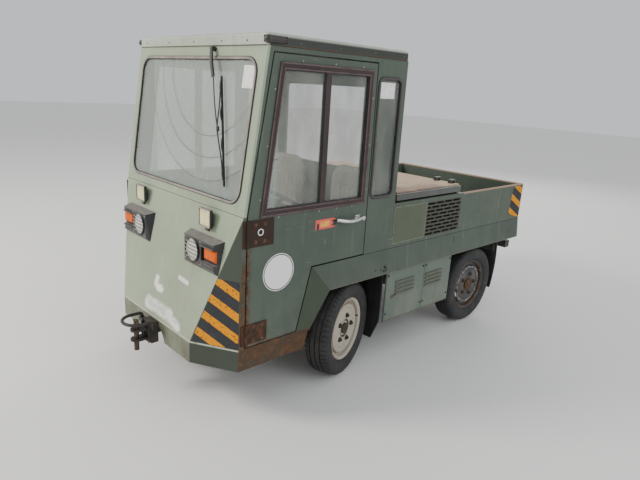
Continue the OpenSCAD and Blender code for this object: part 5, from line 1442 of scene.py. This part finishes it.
for side, flip in (("left", False), ("right", True)):
    parts = [mirrored(p) for p in door_handle()] if flip else door_handle()
    pull = piece(f"door_pull_{side}", f"door_{side}_body", chrome, parts, smooth=50)
    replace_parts(pull, f"door_handle_{side}")


def marker_cover():
    """The smoked cover of a roof marker lamp: an oval section along the roof's edge whose reach is
    the square root of the distance from either end, so that both ends are round."""
    t = np.linspace(0, 1, 30)[:, None]
    b = np.arange(28)[None] * 2 * math.pi / 28
    reach = np.sqrt(np.minimum(1, (t + 0.002) / 0.12) * np.minimum(1, (1.002 - t) / 0.22)) * (1 - 0.12 * t)
    cos, sin = np.cos(b), np.sin(b)
    x = 611 + 22 * reach * np.sign(cos) * np.abs(cos) ** 0.75
    z = 1870.5 + 19.5 * reach * np.sign(sin) * np.abs(sin) ** 0.75
    return grid(np.stack([x, 97 + 130 * t + 0 * b, z], -1)[:, ::-1], wrap_v=True, cap_u=True)


smoked = plain("smoked_plastic", (0.022, 0.019, 0.018), (0.045, 0.036, 0.032), 40, 0.28, 0.0, 0.08, 4)
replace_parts(piece("marker_lamp_covers", "body", smoked, [marker_cover()], mirror=True, smooth=60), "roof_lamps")


def clip():
    """A bent wire clip on the band, just in front of the louvre panel: a hook of round wire."""
    face = HALF_W + BAND_FLARE
    path = [(1, 1052, 642), (7, 1053, 638), (9, 1055, 626), (7, 1050, 616), (4, 1040, 612), (1, 1034, 620)]
    hook = sweep(along([(face + x, y, z) for x, y, z in path], 5), disc(3, 8))
    return [hook, *on_side([revolve([(9, 0), (9, 3), (6, 5), (0.5, 5)], 16)], 1053, 640, face - 1)]


piece("wire_clip", "body", black_plastic, clip())


def hanging(across, heights, station, thick=8):
    """A hanging rubber sheet: rows of points from the inner to the outer edge at every height, then
    back behind it at its thickness; across gives the two edges and station the place, as
    functions of height and of the share of the way outwards."""
    z = heights[:, None]
    u = np.linspace(0, 1, 18)[None]
    low, high = across(z)
    x = low + (high - low) * u
    y = station(u, z)
    near = np.stack([x, y, z + 0 * u], -1)
    back = np.stack([x, y + thick, z + 0 * u], -1)
    return grid(np.concatenate([near, back[:, ::-1]], 1), wrap_v=True, cap_u=True)


def front_flap():
    """The flap behind a front wheel, folded along an upright crease at 0.62 of its width."""
    return hanging(lambda z: (291, 535 + np.minimum((z - 118) * 54 / 132, 54)), np.linspace(118, 590, 26),
                   lambda u, z: 1088.2 - 5 * np.maximum(0, 1 - np.abs(u - 0.62) / 0.10) * (z < 585)
                   - 7 * (1 - (z - 118) / 472) ** 2 * (0.4 + 0.6 * np.sin(2.2 * u)))


def rear_flap():
    """The flap behind a rear wheel, which bellies rearwards by 26 mm and curls at its outer edge."""
    def belly(z):
        return np.sin((z - 195) / 497 * math.pi)

    return hanging(lambda z: (430 + 0 * z, 602 + 6 * belly(z)), np.linspace(195, 690, 30),
                   lambda u, z: 2436.2 + (8 + 18 * u ** 2) * belly(z) ** 0.8 + 6 * u * (1 - (z - 195) / 497))


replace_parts(piece("rubber_flaps", "body", rubber, [front_flap(), rear_flap()], mirror=True, smooth=50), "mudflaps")
flap_bolts = [moved(p, facing((0, s, 0)), (x, y, z)) for x, y, z, s in (
    [(x, 1096.2, 572, 1) for x in (330, 430, 540)] + [(x, 2445, 672, 1) for x in (456, 516, 578)])
    for p in bolt(6, 4)]
flap_strips = [moved(soft_box((w, 3, 22), 1), by=(x, y, z)) for w, x, y, z in (
    (270, 440, 1086.6, 574), (150, 516, 2445.4, 674))]
piece("flap_bolts", "body", iron, flap_bolts + flap_strips, mirror=True)


def rear_lamp_lens():
    """The rear lamp's plastic: red, amber over its outer third, with a dusty lower edge."""
    p = Paint("rear_lamp_lens")
    outer = p.math("ABSOLUTE", p.across).step(543, 545)
    red = p.mix(p.noise(30, 3), (0.42, 0.02, 0.015), (0.30, 0.015, 0.012))
    tone = p.mix(outer, red, (0.80, 0.16, 0.0))
    tone = p.mix(p.height.step(660, 646) * 0.4 * p.noise(20, 3), tone, DUST)
    return p.finish(tone, p.noise(20, 2) * 0.15 + 0.12, bumps=[(p.noise(4, 3), 0.1)],
                    fixed={"Coat Weight": 0.5})


REAR_LAMP_Z = 671


def behind(part, x, out):
    """Carries a part that stands on z = 0 to the rear wall at lamp height, looking rearwards."""
    return moved(part, facing((0, 1, 0)), (x, BODY_REAR + out, REAR_LAMP_Z))


rear_red = rear_lamp_lens()
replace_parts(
    piece("rear_lamp_lenses", "body", rear_red, [
        behind(ribbed_lens(70, 54, 16, 7), 509, 7), behind(ribbed_lens(31, 54, 16, 3), 562, 7)],
        mirror=True, smooth=60),
    "rear_lamps")
lamp_base = slab(round_corners(110, 62, 6, 4), [(0, 0.3), (0, 8), (1.5, 9.5), (3.5, 9.5)])
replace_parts(piece("rear_lamp_bases", "body", black_plastic, [
    behind(lamp_base, 525, 0), *(behind(rivet(3.5, 2), x, 23) for x in (509, 562))],
    mirror=True), "rear_lamps")

# Lamp visors and lips, in worn steel

worn_steel = worn_paint("worn_lamp_steel", (0.150, 0.140, 0.125), (0.085, 0.080, 0.074), rust=0.6, dust=0.1)
visor = [moved(soft_box((106, 15, 4), 1.8), by=(441, HEAD_FRONT - 5, 899)),
         moved(soft_box((106, 13, 4), 1.8), by=(441, HEAD_FRONT - 4, 814)),
         moved(soft_box((274, 7, 5), 2.2), by=(357.5, HEAD_FRONT + 1, LAMP_HIGH - 1.5)),
         moved(soft_box((274, 7, 5), 2.2), by=(357.5, HEAD_FRONT + 1, LAMP_LOW + 1.5))]
piece("lamp_visors", "body", worn_steel, visor, mirror=True)

# Steering wheel, levers and boots

WHEEL_C = (300, 452, 1062)
COLUMN = turn("X", -28)


def wheel_ring():
    """The steering wheel's rim: a ring of radius 190 whose section swells 46 times round its lower
    side, as r = 12 + 1 cos(46 a) there, for the fingers."""
    a = np.arange(276)[:, None] * 2 * math.pi / 276
    b = np.arange(14)[None] * 2 * math.pi / 14
    r = 12 + np.cos(46 * a) * (np.sin(b) < -0.2)
    reach = 190 + r * np.cos(b)
    points = np.stack([reach * np.cos(a), reach * np.sin(a), r * np.sin(b)], -1)
    return grid(points[:, ::-1], wrap_u=True, wrap_v=True)


def steering_parts():
    """Rim, three dished spokes and a stepped hub with a blank cap."""
    spokes = []
    for k in (90, 210, 330):
        path = along([(26, 0, -16), (80, 0, -14), (140, 0, -7), (184, 0, -1)], 5)
        spokes.append(moved(sweep(path, round_corners(26, 7, 3, 3)), turn("Z", k)))
    hub = revolve([(30, -33), (34, -28), (34, -12), (31, -5), (26, -1), (24, 1), (0.5, 2.5)], 40)
    return [moved(p, COLUMN, WHEEL_C) for p in (wheel_ring(), hub, *spokes)]


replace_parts(piece("steering_wheel_grip", "steering_wheel_body", black_plastic, steering_parts(), smooth=50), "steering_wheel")


def ripples(low, high, height, turns):
    """A bellows: radius from low to high over its height, with a cosine ripple of 2.5 mm."""
    t = np.linspace(0, 1, turns * 6 + 1)
    r = low + (high - low) * t + 2.5 * np.cos(t * turns * 2 * math.pi)
    return revolve(np.column_stack([np.append(r, 2), np.append(t, 1) * height]), 28)


boots = [moved(ripples(44, 22, 54, 5), by=(x, 660, 806)) for x in (-40, 30)]
boots.append(moved(ripples(46, 28, 60, 5), COLUMN, (300, 103, 402)))
knob_turn = np.linspace(0.02, 3.0, 14)
knob_profile = np.stack([17 * np.sin(knob_turn), -19 * np.cos(knob_turn)], -1)
knobs = [moved(revolve(knob_profile, 24), by=(x, 630, 961)) for x in (-40, 30)]
piece("rubber_boots", "body", rubber, boots, smooth=60)
piece("lever_knobs", "body", black_plastic, knobs, smooth=60)

# Springs

SPRING_X = 243
SPRING_Z = 352


def spring_leaves(y):
    """Four leaves of falling length, each with blunt ends, over a spring's plain bar."""
    leaves = [moved(soft_box((46, 2 * half, 8.2), 1.6, 3), by=(0, 0, 13.2 - 8.5 * k))
              for k, half in enumerate((242, 243.5, 200, 158))]
    leaves.append(moved(soft_box((42, 306, 12.6), 3, 3), by=(0, 0, -23)))
    bands = [moved(soft_box((52, 22, 40), 3, 3), by=(0, s * 120, -2)) for s in (-1, 1)]
    bow = along([(-30, 0, -62), (-30, 0, 8), (-18, 0, 24), (18, 0, 24), (30, 0, 8), (30, 0, -62)], 5)
    bolts = [sweep(bow + (0, s * 34, 0), disc(6, 10), up=(0, 1, 0)) for s in (-1, 1)]
    eye = revolve([(10, -25), (13, -25), (13, 25), (10, 25), (4, 25)], 20)
    eyes = [p for s in (-1, 1) for p in on_side([eye], s * 225, 0, 0)]
    return [moved(p, by=(SPRING_X, y, SPRING_Z)) for p in leaves + bands + bolts + eyes]


piece("spring_leaves", "body", rusty_iron, spring_leaves(FRONT_AXLE) + spring_leaves(REAR_AXLE), mirror=True)
